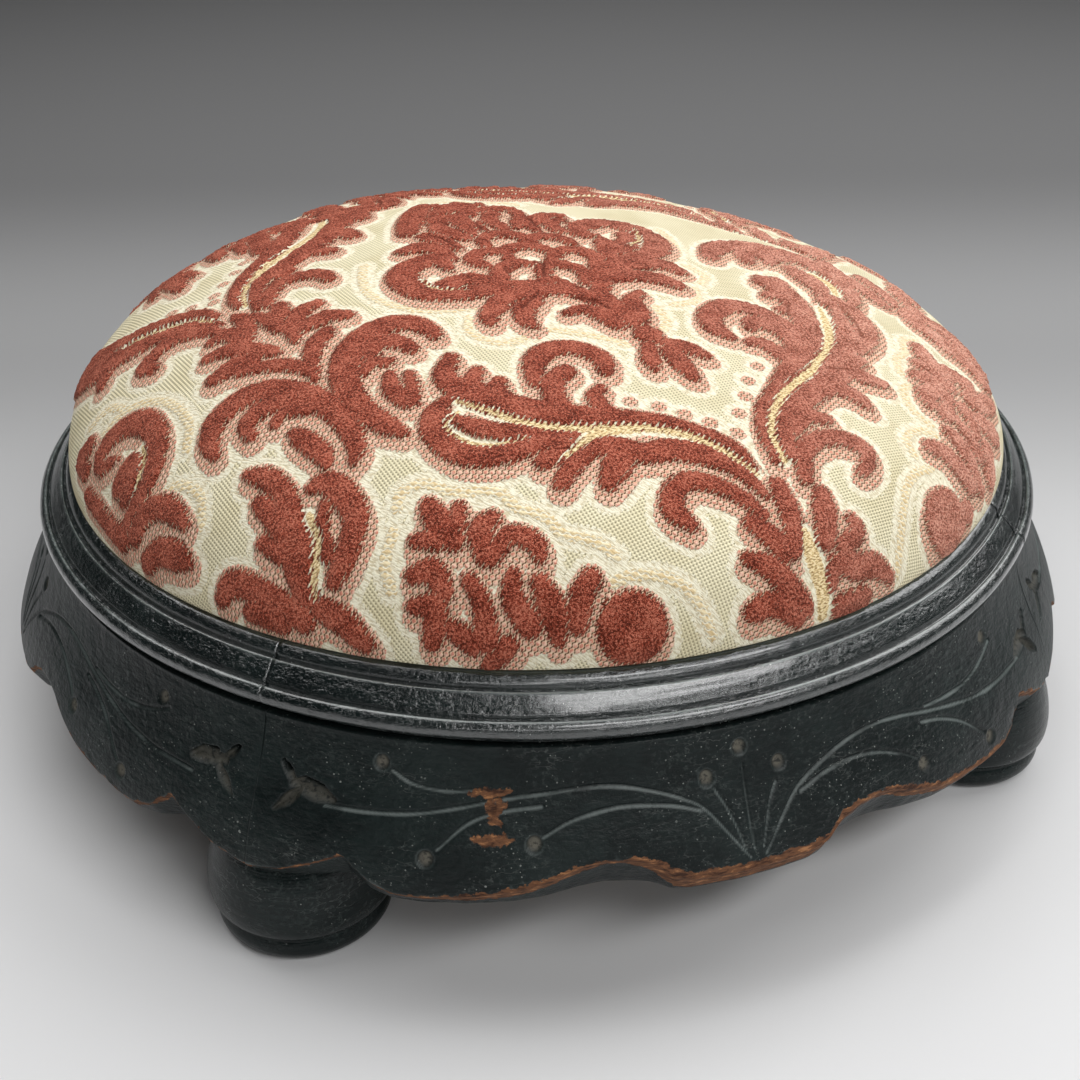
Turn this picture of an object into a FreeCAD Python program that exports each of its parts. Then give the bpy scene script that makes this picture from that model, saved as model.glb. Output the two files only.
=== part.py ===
import FreeCAD, Part
import Sketcher
import math
import os
import re

# Circular ebonised footstool: bun feet, a flared frame with a scalloped lower edge, a moulded rim
# and a tall domed pad. Millimetres, +Z up. The origin is on the floor, on the stool's upright axis.
# The frame and the rim are each made of four quarters. A quarter is centred on an axis, front on -Y,
# and the joints, corner blocks and feet lie on the diagonals between the quarters.

# Driving sizes, in millimetres

SIZES = {
    # Turned bun foot with a groove near its base and a dowel on top
    "foot_height": 32.0,
    "foot_base_radius": 22.2,
    "foot_band_radius": 24.9,
    "foot_base_round_height": 4.6,
    "foot_base_arc_radius": 6.5,
    "foot_groove_height": 7.6,
    "foot_groove_depth": 1.2,
    "foot_groove_half_width": 0.9,
    "foot_bun_height": 14.5,
    "foot_bun_swell": 1.5,
    "foot_bun_taper": 4.5,
    "foot_set_back": 24.4,
    "dowel_radius": 5.5,
    "dowel_length": 16.0,
    "dowel_clearance": 0.1,
    "dowel_end_gap": 1.0,
    # Frame quarter: the outer face is an ogee that flares down to the hem
    "frame_height": 40.5,
    "frame_flare": 16.5,
    "frame_mid_height": 20.5,
    "frame_mid_flare": 8.5,
    "cove_hollow": 0.7,
    "belly_swell": 0.9,
    "hem_thickness": 16.4,
    "frame_wall_rise": 18.0,
    "shelf_width": 6.3,
    "joint_gap": 0.2,
    "scallop_depth": 13.2,
    "hem_slope": 0.5,
    # Corner block behind each joint
    "block_half_width": 30.0,
    "block_margin": 5.0,
    "glue_gap": 0.1,
    # Moulded rim: reaches from the bore and heights above its flat underside
    "bore_radius": 146.3,
    "rim_height": 16.1,
    "rim_seat_reach": 11.6,
    "recess_reach": 9.7,
    "recess_height": 2.3,
    "nose_under_reach": 12.5,
    "nose_under_height": 3.1,
    "nose_reach": 13.7,
    "nose_height": 5.4,
    "nose_arc_radius": 3.6,
    "lower_arris_reach": 11.1,
    "lower_arris_height": 8.4,
    "lower_ledge_reach": 8.6,
    "lower_ledge_height": 8.0,
    "fascia_arc_radius": 9.0,
    "upper_arris_reach": 6.3,
    "upper_arris_height": 13.2,
    "upper_ledge_reach": 4.1,
    "upper_ledge_height": 12.8,
    "bead_width": 3.4,
    "bead_arc_radius": 1.75,
    "bead_drop": 1.35,
    # Pad: board, stuffing, calico lining and velvet cover
    "bore_clearance": 0.3,
    "cover_thickness": 2.2,
    "lining_thickness": 0.6,
    "cloth_gap": 0.2,
    "board_recess": 0.9,
    "board_edge_round": 3.0,
    "lining_overlap": 9.7,
    "neck_lift": 0.3,
    "bulge_lift": 3.9,
    "bulge_overhang": 3.3,
    "dome_rise": 54.5,
    "crown_shift": 32.0,
    "lean_angle": -18.8,
    "cover_lap_width": 14.5,
    # Screws through the corner blocks into the board, and the cover's tacks
    "screw_radius": 2.1,
    "screw_grip": 7.3,
    "screw_head_radius": 4.0,
    "screw_head_height": 2.5,
    "screw_clearance": 0.15,
    "screw_lap_gap": 1.4,
    "counterbore_radius": 5.0,
    "screw_hold": 18.5,
    "tack_head_radius": 3.0,
    "tack_head_height": 0.8,
    "tack_radius": 0.9,
    "tack_length": 10.0,
    "tack_clearance": 0.05,
    "tack_block_gap": 1.8,
    "overrun": 5.0,
}

# Sizes that follow from the driving ones

DERIVED = {
    "frame_top": "foot_height + frame_height",
    "frame_top_radius": "bore_radius + rim_seat_reach",
    "frame_mid_radius": "frame_top_radius + frame_mid_flare",
    "frame_mid_level": "foot_height + frame_mid_height",
    "hem_radius": "frame_top_radius + frame_flare",
    "frame_wall_radius": "hem_radius - hem_thickness",
    "frame_wall_top": "foot_height + frame_wall_rise",
    "shelf_radius": "bore_radius - shelf_width",
    "quarter_angle": "90 - joint_gap / frame_top_radius * 180 / pi",
    "foot_ring_radius": "hem_radius - foot_set_back",
    "foot_offset": "foot_ring_radius * sqrt(0.5)",
    "groove_radius": "foot_band_radius - foot_groove_depth",
    "groove_low": "foot_groove_height - foot_groove_half_width",
    "groove_high": "foot_groove_height + foot_groove_half_width",
    "foot_bun_radius": "foot_band_radius + foot_bun_swell",
    "foot_top_radius": "foot_bun_radius - foot_bun_taper",
    "foot_low_rise": "foot_bun_height - groove_high",
    "foot_high_rise": "foot_height - foot_bun_height",
    "foot_low_arc_radius": "(foot_low_rise^2 + foot_bun_swell^2) / (2 * foot_bun_swell)",
    "foot_high_arc_radius": "(foot_high_rise^2 + foot_bun_taper^2) / (2 * foot_bun_taper)",
    "dowel_top": "foot_height + dowel_length",
    "dowel_hole_radius": "dowel_radius + dowel_clearance",
    "dowel_hole_depth": "dowel_length + dowel_end_gap",
    "block_wall_radius": "frame_wall_radius - glue_gap",
    "block_shelf_radius": "shelf_radius - glue_gap",
    "block_angle": "2 * block_half_width / foot_ring_radius * 180 / pi",
    "neck_radius": "bore_radius - bore_clearance",
    "rim_top": "frame_top + rim_height",
    "board_bottom": "frame_top + cover_thickness",
    "board_thickness": "rim_height - board_recess - cover_thickness",
    "board_top": "rim_top - board_recess",
    "board_radius": "neck_radius - cover_thickness - lining_thickness - 2 * cloth_gap",
    "lining_bottom": "board_top - lining_overlap",
    "neck_top": "rim_top + neck_lift",
    "bulge_height": "rim_top + bulge_lift",
    "bulge_radius": "neck_radius + bulge_overhang",
    "crown_height": "bulge_height + dome_rise",
    "cover_lap_radius": "neck_radius - cover_lap_width",
    "screw_ring_radius": "cover_lap_radius - screw_radius - screw_lap_gap",
    "screw_hole_radius": "screw_radius + screw_clearance",
    "screw_seat": "frame_top - screw_hold",
    "counterbore_depth": "screw_seat - foot_height",
    "screw_length": "board_bottom + screw_grip - screw_seat",
    "block_inner_radius": "screw_ring_radius - counterbore_radius - block_margin",
    "tack_ring_radius": "(cover_lap_radius + shelf_radius) / 2",
    "tack_block_angle": "(tack_head_radius + tack_block_gap) / tack_ring_radius * 180 / pi",
    "tack_sweep": "90 - block_angle - 2 * tack_block_angle",
    "tack_hole_radius": "tack_radius + tack_clearance",
    "cover_inset": "cover_thickness",
    "lining_inset": "cover_thickness + cloth_gap",
    "lining_inner_inset": "lining_inset + lining_thickness",
    "stuffing_inset": "lining_inner_inset + cloth_gap",
}

# Counts and turns

QUARTERS = {"right": 0, "rear": 90, "left": 180, "front": 270}
CORNERS = {"rear_right": 45, "rear_left": 135, "front_left": 225, "front_right": 315}
TACKS_PER_QUARTER = 7
TACK_HEAD_SIDES = 8
TACK_SHANK_SIDES = 4
EDGE_SECTIONS = 9

# The scalloped lower edge over half a quarter, as stretches between its corners. Each point is a
# share of the half quarter's angle and a share of the scallop depth above the frame's flat bottom.

CENTRE_LOBE_SHARES = [(-0.18, 0.69), (-0.16, 0.5), (-0.122, 0.41), (0.0, 0.39),
                      (0.122, 0.41), (0.16, 0.5), (0.18, 0.69)]
HOLLOW_SHARES = [(0.18, 0.69), (0.2, 0.825), (0.238, 0.94), (0.289, 0.98), (0.338, 0.89)]
SIDE_LOBE_SHARES = [(0.338, 0.89), (0.4, 0.65), (0.467, 0.455), (0.544, 0.333), (0.633, 0.25),
                    (0.698, 0.25), (0.747, 0.44), (0.8, 0.83)]
FOOT_LOBE_SHARES = [(0.8, 0.83), (0.856, 0.55), (0.922, 0.26), (1.0, 0.09),
                    (1.078, 0.26), (1.144, 0.55), (1.2, 0.83)]

# The pad's dome above its widest circle, pressed down towards its low side. Each level is an
# ellipse: its height, the shift of its middle away from the low side, and its half widths along
# and across the lean, as shares of the dome's rise, the crown's shift and the bulge's radius.

DOME_LEVELS = [
    (0.0, 0.0, 1.0, 1.0),
    (0.138, 0.005, 0.986, 0.987),
    (0.285, 0.035, 0.951, 0.956),
    (0.432, 0.129, 0.884, 0.904),
    (0.579, 0.311, 0.776, 0.823),
    (0.726, 0.541, 0.627, 0.7),
    (0.855, 0.748, 0.453, 0.534),
    (0.947, 0.906, 0.27, 0.337),
    (0.99, 0.985, 0.115, 0.15),
]

doc = FreeCAD.newDocument("footstool")
sheet = doc.addObject("Spreadsheet::Sheet", "Sizes")
ALIASES = list(SIZES) + list(DERIVED)


def fill_sheet():
    """One row per size: its name in column A, its number or formula, with the alias, in column B."""
    for row, name in enumerate(ALIASES, start=1):
        sheet.set("A%d" % row, name)
        sheet.set("B%d" % row, str(SIZES[name]) if name in SIZES else "=" + DERIVED[name])
        sheet.setAlias("B%d" % row, name)
    doc.recompute()


def linked(expression):
    """The expression with each size's name pointed at its cell of the sheet."""
    return re.sub(r"[a-z_]+", lambda word: "Sizes." + word.group() if word.group() in ALIASES
                  else word.group(), expression)


def size(name):
    return float(sheet.get(name))


def bind(item, **properties):
    """Tie each property of an object, such as Length or Placement__Base__z, to an expression."""
    for name, expression in properties.items():
        item.setExpression(name.replace("__", "."), linked(expression))


def number(expression):
    return float(sheet.evalExpression(expression))


# Sketches and revolved bodies


def across(start, end):
    """The unit direction to the left of the way from start to end."""
    chord = end.sub(start)
    return FreeCAD.Vector(-chord.y, chord.x, 0).normalize()


def arc_centre(start, end, radius, side):
    """The centre of the short arc of that radius that swells to the left (1) or right (-1)."""
    half = end.distanceToPoint(start) / 2
    return (start + end) * 0.5 - across(start, end) * (side * math.sqrt(radius ** 2 - half ** 2))


def arc_between(start, end, radius, side):
    """The short arc of that radius from start to end."""
    middle = arc_centre(start, end, radius, side) + across(start, end) * (side * radius)
    return Part.Arc(start, middle, end)


def new_sketch(body, name, role):
    """A sketch on one of the body's own origin planes."""
    sketch = body.newObject("Sketcher::SketchObject", name)
    plane = [item for item in body.Origin.OriginFeatures if item.Role == role][0]
    sketch.AttachmentSupport = [(plane, "")]
    sketch.MapMode = "FlatFace"
    return sketch


def pin_point(sketch, edge, end, radius, height):
    """Hold one end of an edge at its radius from the axis and its height above the floor."""
    for kind, axis, expression in (("DistanceX", -2, radius), ("DistanceY", -1, height)):
        if expression == "0":
            sketch.addConstraint(Sketcher.Constraint("PointOnObject", edge, end, axis))
            continue
        held = Sketcher.Constraint(kind, -1, 1, edge, end, number(expression))
        index = sketch.addConstraint(held)
        sketch.setExpression("Constraints[%d]" % index, linked(expression))


def draw_outline(sketch, corners):
    """A closed outline of (radius, height) corners, with a bend and a side where an arc starts."""
    points = [FreeCAD.Vector(number(corner[0]), number(corner[1]), 0) for corner in corners]
    ends = []
    for index, corner in enumerate(corners):
        start = points[index]
        end = points[(index + 1) % len(points)]
        if len(corner) == 2:
            edge = sketch.addGeometry(Part.LineSegment(start, end), False)
        else:
            edge = sketch.addGeometry(arc_between(start, end, number(corner[2]), corner[3]), False)
        starts_at_first = sketch.getPoint(edge, 1).distanceToPoint(start) < size("cloth_gap")
        ends.append((edge, 1, 2) if starts_at_first else (edge, 2, 1))
    for index, corner in enumerate(corners):
        edge, first, last = ends[index]
        following, following_first = ends[(index + 1) % len(ends)][:2]
        sketch.addConstraint(Sketcher.Constraint("Coincident", edge, last, following, following_first))
        pin_point(sketch, edge, first, corner[0], corner[1])
        if len(corner) == 4:
            bend = sketch.addConstraint(Sketcher.Constraint("Radius", edge, number(corner[2])))
            sketch.setExpression("Constraints[%d]" % bend, linked(corner[2]))


def draw_circle(sketch, radius, reach):
    """A circle with its centre on the sketch's first axis at the given reach, or at the origin."""
    centre = FreeCAD.Vector(number(reach), 0, 0)
    axis = FreeCAD.Vector(0, 0, 1)
    circle = sketch.addGeometry(Part.Circle(centre, axis, number(radius)), False)
    pin_point(sketch, circle, 3, reach, "0")
    index = sketch.addConstraint(Sketcher.Constraint("Radius", circle, number(radius)))
    sketch.setExpression("Constraints[%d]" % index, linked(radius))


def revolved_body(name, corners, angle="360"):
    """A body turned about the upright axis. Less than a full turn is centred on +X."""
    body = doc.addObject("PartDesign::Body", name)
    sketch = new_sketch(body, name + "_section", "XZ_Plane")
    draw_outline(sketch, corners)
    turning = body.newObject("PartDesign::Revolution", name + "_turning")
    turning.Profile = sketch
    turning.ReferenceAxis = (sketch, ["V_Axis"])
    turning.Midplane = True
    bind(turning, Angle=angle)
    doc.recompute()
    return body


def cut_round_hole(body, name, radius, reach, start, depth):
    """A round hole cut upwards from the start level, and a check that it took wood away."""
    before = body.Shape.Volume
    sketch = new_sketch(body, name + "_circle", "XY_Plane")
    bind(sketch, AttachmentOffset__Base__z=start)
    draw_circle(sketch, radius, reach)
    hole = body.newObject("PartDesign::Pocket", name)
    hole.Profile = sketch
    hole.Reversed = True
    bind(hole, Length=depth)
    doc.recompute()
    if body.Shape.Volume >= before:
        raise RuntimeError(name + " cuts nothing")
    return hole


def turn_about_axis(item, degrees):
    item.Placement = FreeCAD.Placement(FreeCAD.Vector(0, 0, 0),
                                       FreeCAD.Rotation(FreeCAD.Vector(0, 0, 1), degrees))


# Rim: a nose over a recess, two arrised steps with a coved fascia between, and a bead at the bore

RIM_SECTION = [
    ("bore_radius", "frame_top"),
    ("bore_radius + recess_reach", "frame_top"),
    ("bore_radius + recess_reach", "frame_top + recess_height"),
    ("bore_radius + nose_under_reach", "frame_top + nose_under_height"),
    ("bore_radius + nose_reach", "frame_top + nose_height", "nose_arc_radius", -1),
    ("bore_radius + lower_arris_reach", "frame_top + lower_arris_height"),
    ("bore_radius + lower_ledge_reach", "frame_top + lower_ledge_height", "fascia_arc_radius", 1),
    ("bore_radius + upper_arris_reach", "frame_top + upper_arris_height"),
    ("bore_radius + upper_ledge_reach", "frame_top + upper_ledge_height"),
    ("bore_radius + bead_width", "rim_top - bead_drop", "bead_arc_radius", -1),
    ("bore_radius", "rim_top - bead_drop"),
]


def make_rim():
    for place, degrees in QUARTERS.items():
        quarter = revolved_body("rim_" + place, RIM_SECTION, "quarter_angle")
        turn_about_axis(quarter, degrees)


# Frame: each quarter is a turned ogee blank whose lower edge is carved to the scallops


def chord_bend(start, end, sagitta):
    """The arc radius for a chord between two (radius, height) corners, as an expression."""
    square = "((%s - %s) ^ 2 + (%s - %s) ^ 2)" % (end[0], start[0], end[1], start[1])
    return "%s / (8 * %s) + %s / 2" % (square, sagitta, sagitta)


FRAME_TOP = ("frame_top_radius", "frame_top")
FRAME_MID = ("frame_mid_radius", "frame_mid_level")
FRAME_HEM = ("hem_radius", "foot_height")
FRAME_SECTION = [
    ("frame_wall_radius", "foot_height"),
    FRAME_HEM + (chord_bend(FRAME_HEM, FRAME_MID, "belly_swell"), -1),
    FRAME_MID + (chord_bend(FRAME_MID, FRAME_TOP, "cove_hollow"), 1),
    FRAME_TOP,
    ("shelf_radius", "frame_top"),
    ("frame_wall_radius", "frame_wall_top"),
]


def belly_radius_at(level):
    """The radius of the frame's lower outer face, the arc from the hem to the ogee's middle."""
    hem = FreeCAD.Vector(size("hem_radius"), size("foot_height"), 0)
    mid = FreeCAD.Vector(size("frame_mid_radius"), size("frame_mid_level"), 0)
    bend = number(chord_bend(FRAME_HEM, FRAME_MID, "belly_swell"))
    centre = arc_centre(hem, mid, bend, -1)
    return centre.x + math.sqrt(bend ** 2 - (level - centre.y) ** 2)


def edge_section(degrees, lift):
    """The waste below the edge at one angle: a slope falls inwards from the arris to the bottom."""
    bottom = size("foot_height")
    level = bottom + lift
    arris = belly_radius_at(level)
    inner = arris - size("hem_slope") * lift
    over = size("overrun")
    outward = size("hem_slope") * over
    far = size("hem_radius") + over
    corners = [(inner, bottom - over), (inner, bottom), (arris + outward, level + over),
               (far + over, level + over), (far + over, bottom - over)]
    turn = math.radians(degrees)
    points = [FreeCAD.Vector(radius * math.cos(turn), radius * math.sin(turn), height)
              for radius, height in corners]
    return Part.makePolygon(points + points[:1])


def scallop_waste(shares):
    """The solid below one stretch of the edge, lofted through sections along a smooth curve."""
    half_quarter = 45.0
    along = size("hem_radius") * math.radians(half_quarter)
    points = [FreeCAD.Vector(angle * along, lift * size("scallop_depth"), 0)
              for angle, lift in shares]
    curve = Part.BSplineCurve()
    curve.interpolate(points)
    last = curve.LastParameter
    sections = []
    for step in range(EDGE_SECTIONS):
        point = curve.value(last * step / (EDGE_SECTIONS - 1))
        sections.append(edge_section(point.x / along * half_quarter, point.y))
    return Part.makeLoft(sections, True, False)


def make_frame():
    blank = revolved_body("frame_blank", FRAME_SECTION, "quarter_angle")
    stretches = [CENTRE_LOBE_SHARES]
    for shares in (HOLLOW_SHARES, SIDE_LOBE_SHARES, FOOT_LOBE_SHARES):
        mirrored = [(-angle, lift) for angle, lift in reversed(shares)]
        stretches += [shares, mirrored]
    solids = [scallop_waste(shares) for shares in stretches]
    waste = doc.addObject("Part::Feature", "edge_waste")
    waste.Shape = solids[0].multiFuse(solids[1:])
    for place, degrees in QUARTERS.items():
        quarter = doc.addObject("Part::Cut", "frame_" + place)
        quarter.Base = blank
        quarter.Tool = waste
        turn_about_axis(quarter, degrees)


# Corner blocks: they back the joints, take the foot dowels and let the screws up to the board

BLOCK_SECTION = [
    ("block_inner_radius", "foot_height"),
    ("block_wall_radius", "foot_height"),
    ("block_wall_radius", "frame_wall_top"),
    ("block_shelf_radius", "frame_top"),
    ("block_inner_radius", "frame_top"),
]


def make_blocks():
    for place, degrees in CORNERS.items():
        block = revolved_body("block_" + place, BLOCK_SECTION, "block_angle")
        cut_round_hole(block, "dowel_hole_" + place, "dowel_hole_radius", "foot_ring_radius",
                       "foot_height", "dowel_hole_depth")
        cut_round_hole(block, "counterbore_" + place, "counterbore_radius", "screw_ring_radius",
                       "foot_height", "counterbore_depth")
        cut_round_hole(block, "screw_hole_" + place, "screw_hole_radius", "screw_ring_radius",
                       "screw_seat", "frame_top - screw_seat + overrun")
        turn_about_axis(block, degrees)


# Feet: turned in one piece with their dowels

FOOT_SECTION = [
    ("0", "0"),
    ("foot_base_radius", "0", "foot_base_arc_radius", -1),
    ("foot_band_radius", "foot_base_round_height"),
    ("foot_band_radius", "groove_low"),
    ("groove_radius", "foot_groove_height"),
    ("foot_band_radius", "groove_high", "foot_low_arc_radius", -1),
    ("foot_bun_radius", "foot_bun_height", "foot_high_arc_radius", -1),
    ("foot_top_radius", "foot_height"),
    ("dowel_radius", "foot_height"),
    ("dowel_radius", "dowel_top"),
    ("0", "dowel_top"),
]


def make_feet():
    for place, degrees in CORNERS.items():
        foot = revolved_body("foot_" + place, FOOT_SECTION)
        right = 1 if "right" in place else -1
        rear = 1 if "rear" in place else -1
        bind(foot, Placement__Base__x="%d * foot_offset" % right,
             Placement__Base__y="%d * foot_offset" % rear)


# Pad


def level_ring(name, height, shift, along, over):
    """An ellipse at a height, shifted away from the low side, from expressions of its sizes."""
    ring = doc.addObject("Part::Ellipse", name)
    turn_about_axis(ring, size("lean_angle") + QUARTERS["rear"])
    bind(ring, MajorRadius=over, MinorRadius=along, Placement__Base__z=height,
         Placement__Base__x="-(%s) * cos(lean_angle)" % shift,
         Placement__Base__y="-(%s) * sin(lean_angle)" % shift)
    return ring


def level_facings():
    """The dome's mean outward direction at each level, as (outward, upward) unit shares."""
    points = [FreeCAD.Vector((along + over) / 2 * size("bulge_radius"), rise * size("dome_rise"), 0)
              for rise, _, along, over in DOME_LEVELS]
    points = points[:1] + points + [FreeCAD.Vector(0, size("dome_rise"), 0)]
    facings = [across(after, before) for before, after in zip(points[:-2], points[2:])]
    return [(1, 0)] + [(facing.x, facing.y) for facing in facings[1:]]


def dome_layer(name, inset, bottom):
    """A closed pad form, set in by the inset: a neck, a bulge over the rim and a leaning dome."""
    neck = rod(name + "_neck", "neck_radius - " + inset, "neck_top - (%s)" % bottom, "0", 0, bottom)
    narrow = "neck_radius - " + inset
    rings = [level_ring(name + "_neck_ring", "neck_top", "0", narrow, narrow)]
    for index, (level, facing) in enumerate(zip(DOME_LEVELS, level_facings())):
        rise, shift, along, over = level
        outward, upward = ("%s * %.4f" % (inset, share) for share in facing)
        rings.append(level_ring("%s_ring_%d" % (name, index),
                                "bulge_height + dome_rise * %.3f - %s" % (rise, upward),
                                "crown_shift * %.3f" % shift,
                                "bulge_radius * %.3f - %s" % (along, outward),
                                "bulge_radius * %.3f - %s" % (over, outward)))
    crown = doc.addObject("Part::Vertex", name + "_crown")
    bind(crown, X="-crown_shift * cos(lean_angle)", Y="-crown_shift * sin(lean_angle)",
         Z="crown_height - " + inset)
    dome = doc.addObject("Part::Loft", name + "_dome")
    dome.Sections = rings + [crown]
    dome.Solid = True
    layer = doc.addObject("Part::Fuse", name)
    layer.Base = neck
    layer.Tool = dome
    return layer


def tack_angles():
    """The tacks' angles as expressions: evenly over each quarter, clear of the corner blocks."""
    return ["(%d + %.6f * tack_sweep)" % (quarter, step / (TACKS_PER_QUARTER - 1) - 0.5)
            for quarter in QUARTERS.values() for step in range(TACKS_PER_QUARTER)]


def rod(name, radius, height, reach, degrees, start, sides=0):
    """An upright rod at a reach from the stool's axis and an angle round it: round, or with sides."""
    item = doc.addObject("Part::Prism" if sides else "Part::Cylinder", name)
    if sides:
        item.Polygon = sides
    bind(item, **{"Circumradius" if sides else "Radius": radius})
    bind(item, Height=height, Placement__Base__z=start,
         Placement__Base__x="%s * cos(%s)" % (reach, degrees),
         Placement__Base__y="%s * sin(%s)" % (reach, degrees))
    return item


def compound(name, links):
    group = doc.addObject("Part::Compound", name)
    group.Links = links
    return group


def cut(name, base, tool):
    result = doc.addObject("Part::Cut", name)
    result.Base = base
    result.Tool = tool
    return result


def make_board_blank():
    """The round wooden board, its upper edge rounded, with a pilot hole for each screw."""
    body = doc.addObject("PartDesign::Body", "board_blank")
    sketch = new_sketch(body, "board_circle", "XY_Plane")
    bind(sketch, AttachmentOffset__Base__z="board_bottom")
    draw_circle(sketch, "board_radius", "0")
    disc = body.newObject("PartDesign::Pad", "board_disc")
    disc.Profile = sketch
    bind(disc, Length="board_thickness")
    doc.recompute()
    top_edge = max(range(len(disc.Shape.Edges)),
                   key=lambda index: disc.Shape.Edges[index].CenterOfMass.z)
    rounding = body.newObject("PartDesign::Fillet", "board_edge")
    rounding.Base = (disc, ["Edge%d" % (top_edge + 1)])
    bind(rounding, Radius="board_edge_round")
    doc.recompute()
    hole = cut_round_hole(body, "pilot_hole", "screw_radius", "screw_ring_radius", "board_bottom",
                          "screw_grip")
    around = body.newObject("PartDesign::PolarPattern", "pilot_holes")
    around.Originals = [hole]
    around.Axis = ([item for item in body.Origin.OriginFeatures if item.Role == "Z_Axis"][0], [""])
    around.Angle = 360
    around.Occurrences = len(CORNERS)
    body.Tip = around
    turn_about_axis(body, CORNERS["rear_right"])
    doc.recompute()
    return body


def make_pad():
    bores = [rod("tack_bore_%d" % index, "tack_hole_radius", "tack_length + overrun",
                 "tack_ring_radius", degrees, "frame_top - overrun", TACK_SHANK_SIDES)
             for index, degrees in enumerate(tack_angles(), start=1)]
    cut("baseboard", make_board_blank(), compound("board_tack_bores", bores))
    dome_layer("horsehair_stuffing", "stuffing_inset", "board_top")
    cut("calico_lining", dome_layer("lining_outside", "lining_inset", "lining_bottom"),
        dome_layer("lining_inside", "lining_inner_inset", "lining_bottom - overrun"))
    mouth = rod("cover_lap_mouth", "cover_lap_radius", "2 * overrun", "0", 0,
                "frame_top - overrun")
    inside = doc.addObject("Part::MultiFuse", "cover_inside")
    inside.Shapes = [dome_layer("cover_inside_dome", "cover_inset", "board_bottom"), mouth]
    shell = cut("cover_shell", dome_layer("cover_outside", "0", "frame_top"), inside)
    cut("velvet_cover", shell, compound("cover_tack_bores", bores))


# Fixings


def make_fixings():
    tacks = []
    for index, degrees in enumerate(tack_angles(), start=1):
        head = rod("tack_head_%d" % index, "tack_head_radius", "tack_head_height",
                   "tack_ring_radius", degrees, "frame_top - tack_head_height",
                   TACK_HEAD_SIDES)
        shank = rod("tack_shank_%d" % index, "tack_radius", "tack_length",
                    "tack_ring_radius", degrees, "frame_top", TACK_SHANK_SIDES)
        tack = doc.addObject("Part::Fuse", "tack_%d" % index)
        tack.Base = head
        tack.Tool = shank
        tacks.append(tack)
    compound("cover_tacks", tacks)
    screws = []
    for index, degrees in enumerate(CORNERS.values(), start=1):
        head = rod("screw_head_%d" % index, "screw_head_radius", "screw_head_height",
                   "screw_ring_radius", degrees, "screw_seat - screw_head_height")
        shank = rod("screw_shank_%d" % index, "screw_radius", "screw_length",
                    "screw_ring_radius", degrees, "screw_seat")
        screw = doc.addObject("Part::Fuse", "screw_%d" % index)
        screw.Base = head
        screw.Tool = shank
        screws.append(screw)
    compound("board_screws", screws)


# Build, check and write

NODES = (["rim_" + place for place in QUARTERS] + ["frame_" + place for place in QUARTERS]
         + ["block_" + place for place in CORNERS] + ["foot_" + place for place in CORNERS]
         + ["baseboard", "horsehair_stuffing", "calico_lining", "velvet_cover",
            "cover_tacks", "board_screws"])

fill_sheet()
make_rim()
make_frame()
make_blocks()
make_feet()
make_pad()
make_fixings()
doc.recompute()

for item in doc.Objects:
    if "Invalid" in item.State or "Error" in item.State:
        raise RuntimeError("%s failed: %s" % (item.Label, item.State))

os.makedirs("parts", exist_ok=True)
whole = FreeCAD.BoundBox()
for node in NODES:
    shape = doc.getObject(node).Shape
    if shape.isNull() or not shape.isValid() or not shape.Solids:
        raise RuntimeError(node + " has no valid solid")
    shape.exportStep("parts/%s.step" % node)
    whole.add(shape.optimalBoundingBox())
    print("%-22s %2d solids %10.0f mm3" % (node, len(shape.Solids), shape.Volume))
print("overall %.1f x %.1f x %.1f mm" % (whole.XLength, whole.YLength, whole.ZLength))
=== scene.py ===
# %% [markdown]
# # A round footstool, dressed for its portrait
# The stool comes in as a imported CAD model: turned bun feet, four carved frame quarters, four
# moulded rim quarters, and a tall pad on a round board. This lesson gives it its looks. The pieces
# that need carving or cloth are worked out again as numpy surfaces in the same place, and the
# plain hidden ones keep their CAD shape and get a finish.

# %% The frame and the whole object's box
import math
import bpy
import numpy as np
from mathutils import Matrix, Vector


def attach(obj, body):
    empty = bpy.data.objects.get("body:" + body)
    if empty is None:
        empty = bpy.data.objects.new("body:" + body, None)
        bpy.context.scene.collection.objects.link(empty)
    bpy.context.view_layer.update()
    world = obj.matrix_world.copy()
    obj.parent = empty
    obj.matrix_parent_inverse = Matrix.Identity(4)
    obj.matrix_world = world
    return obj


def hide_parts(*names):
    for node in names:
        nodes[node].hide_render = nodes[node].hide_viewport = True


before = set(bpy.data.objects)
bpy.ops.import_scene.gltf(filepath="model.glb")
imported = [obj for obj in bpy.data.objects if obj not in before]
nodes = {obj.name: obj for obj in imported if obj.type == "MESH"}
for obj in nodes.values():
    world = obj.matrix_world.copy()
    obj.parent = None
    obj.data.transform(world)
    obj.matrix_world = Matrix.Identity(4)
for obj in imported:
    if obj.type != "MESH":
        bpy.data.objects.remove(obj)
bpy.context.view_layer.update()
MM = 0.001  # metres in a millimetre

# %% [markdown]
# ## The camera
# A portrait is only as good as its viewpoint. The viewpoint was worked out from the round rim, the
# four feet and the four like frame quarters: it stands about half a metre off, some 31 degrees
# above the floor and 19 degrees to the left of the front quarter's middle. The camera's axes are
# built by hand, as three unit vectors, because that is easier to check than three angles.

# %% Camera
CAMERA_AT = (-0.1448, -0.4291, 0.3081)
CAMERA_PITCH = math.radians(30.8)
CAMERA_TURN = math.radians(18.76)
CAMERA_ROLL = math.radians(-0.62)
CAMERA_LENS = 50.5


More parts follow.
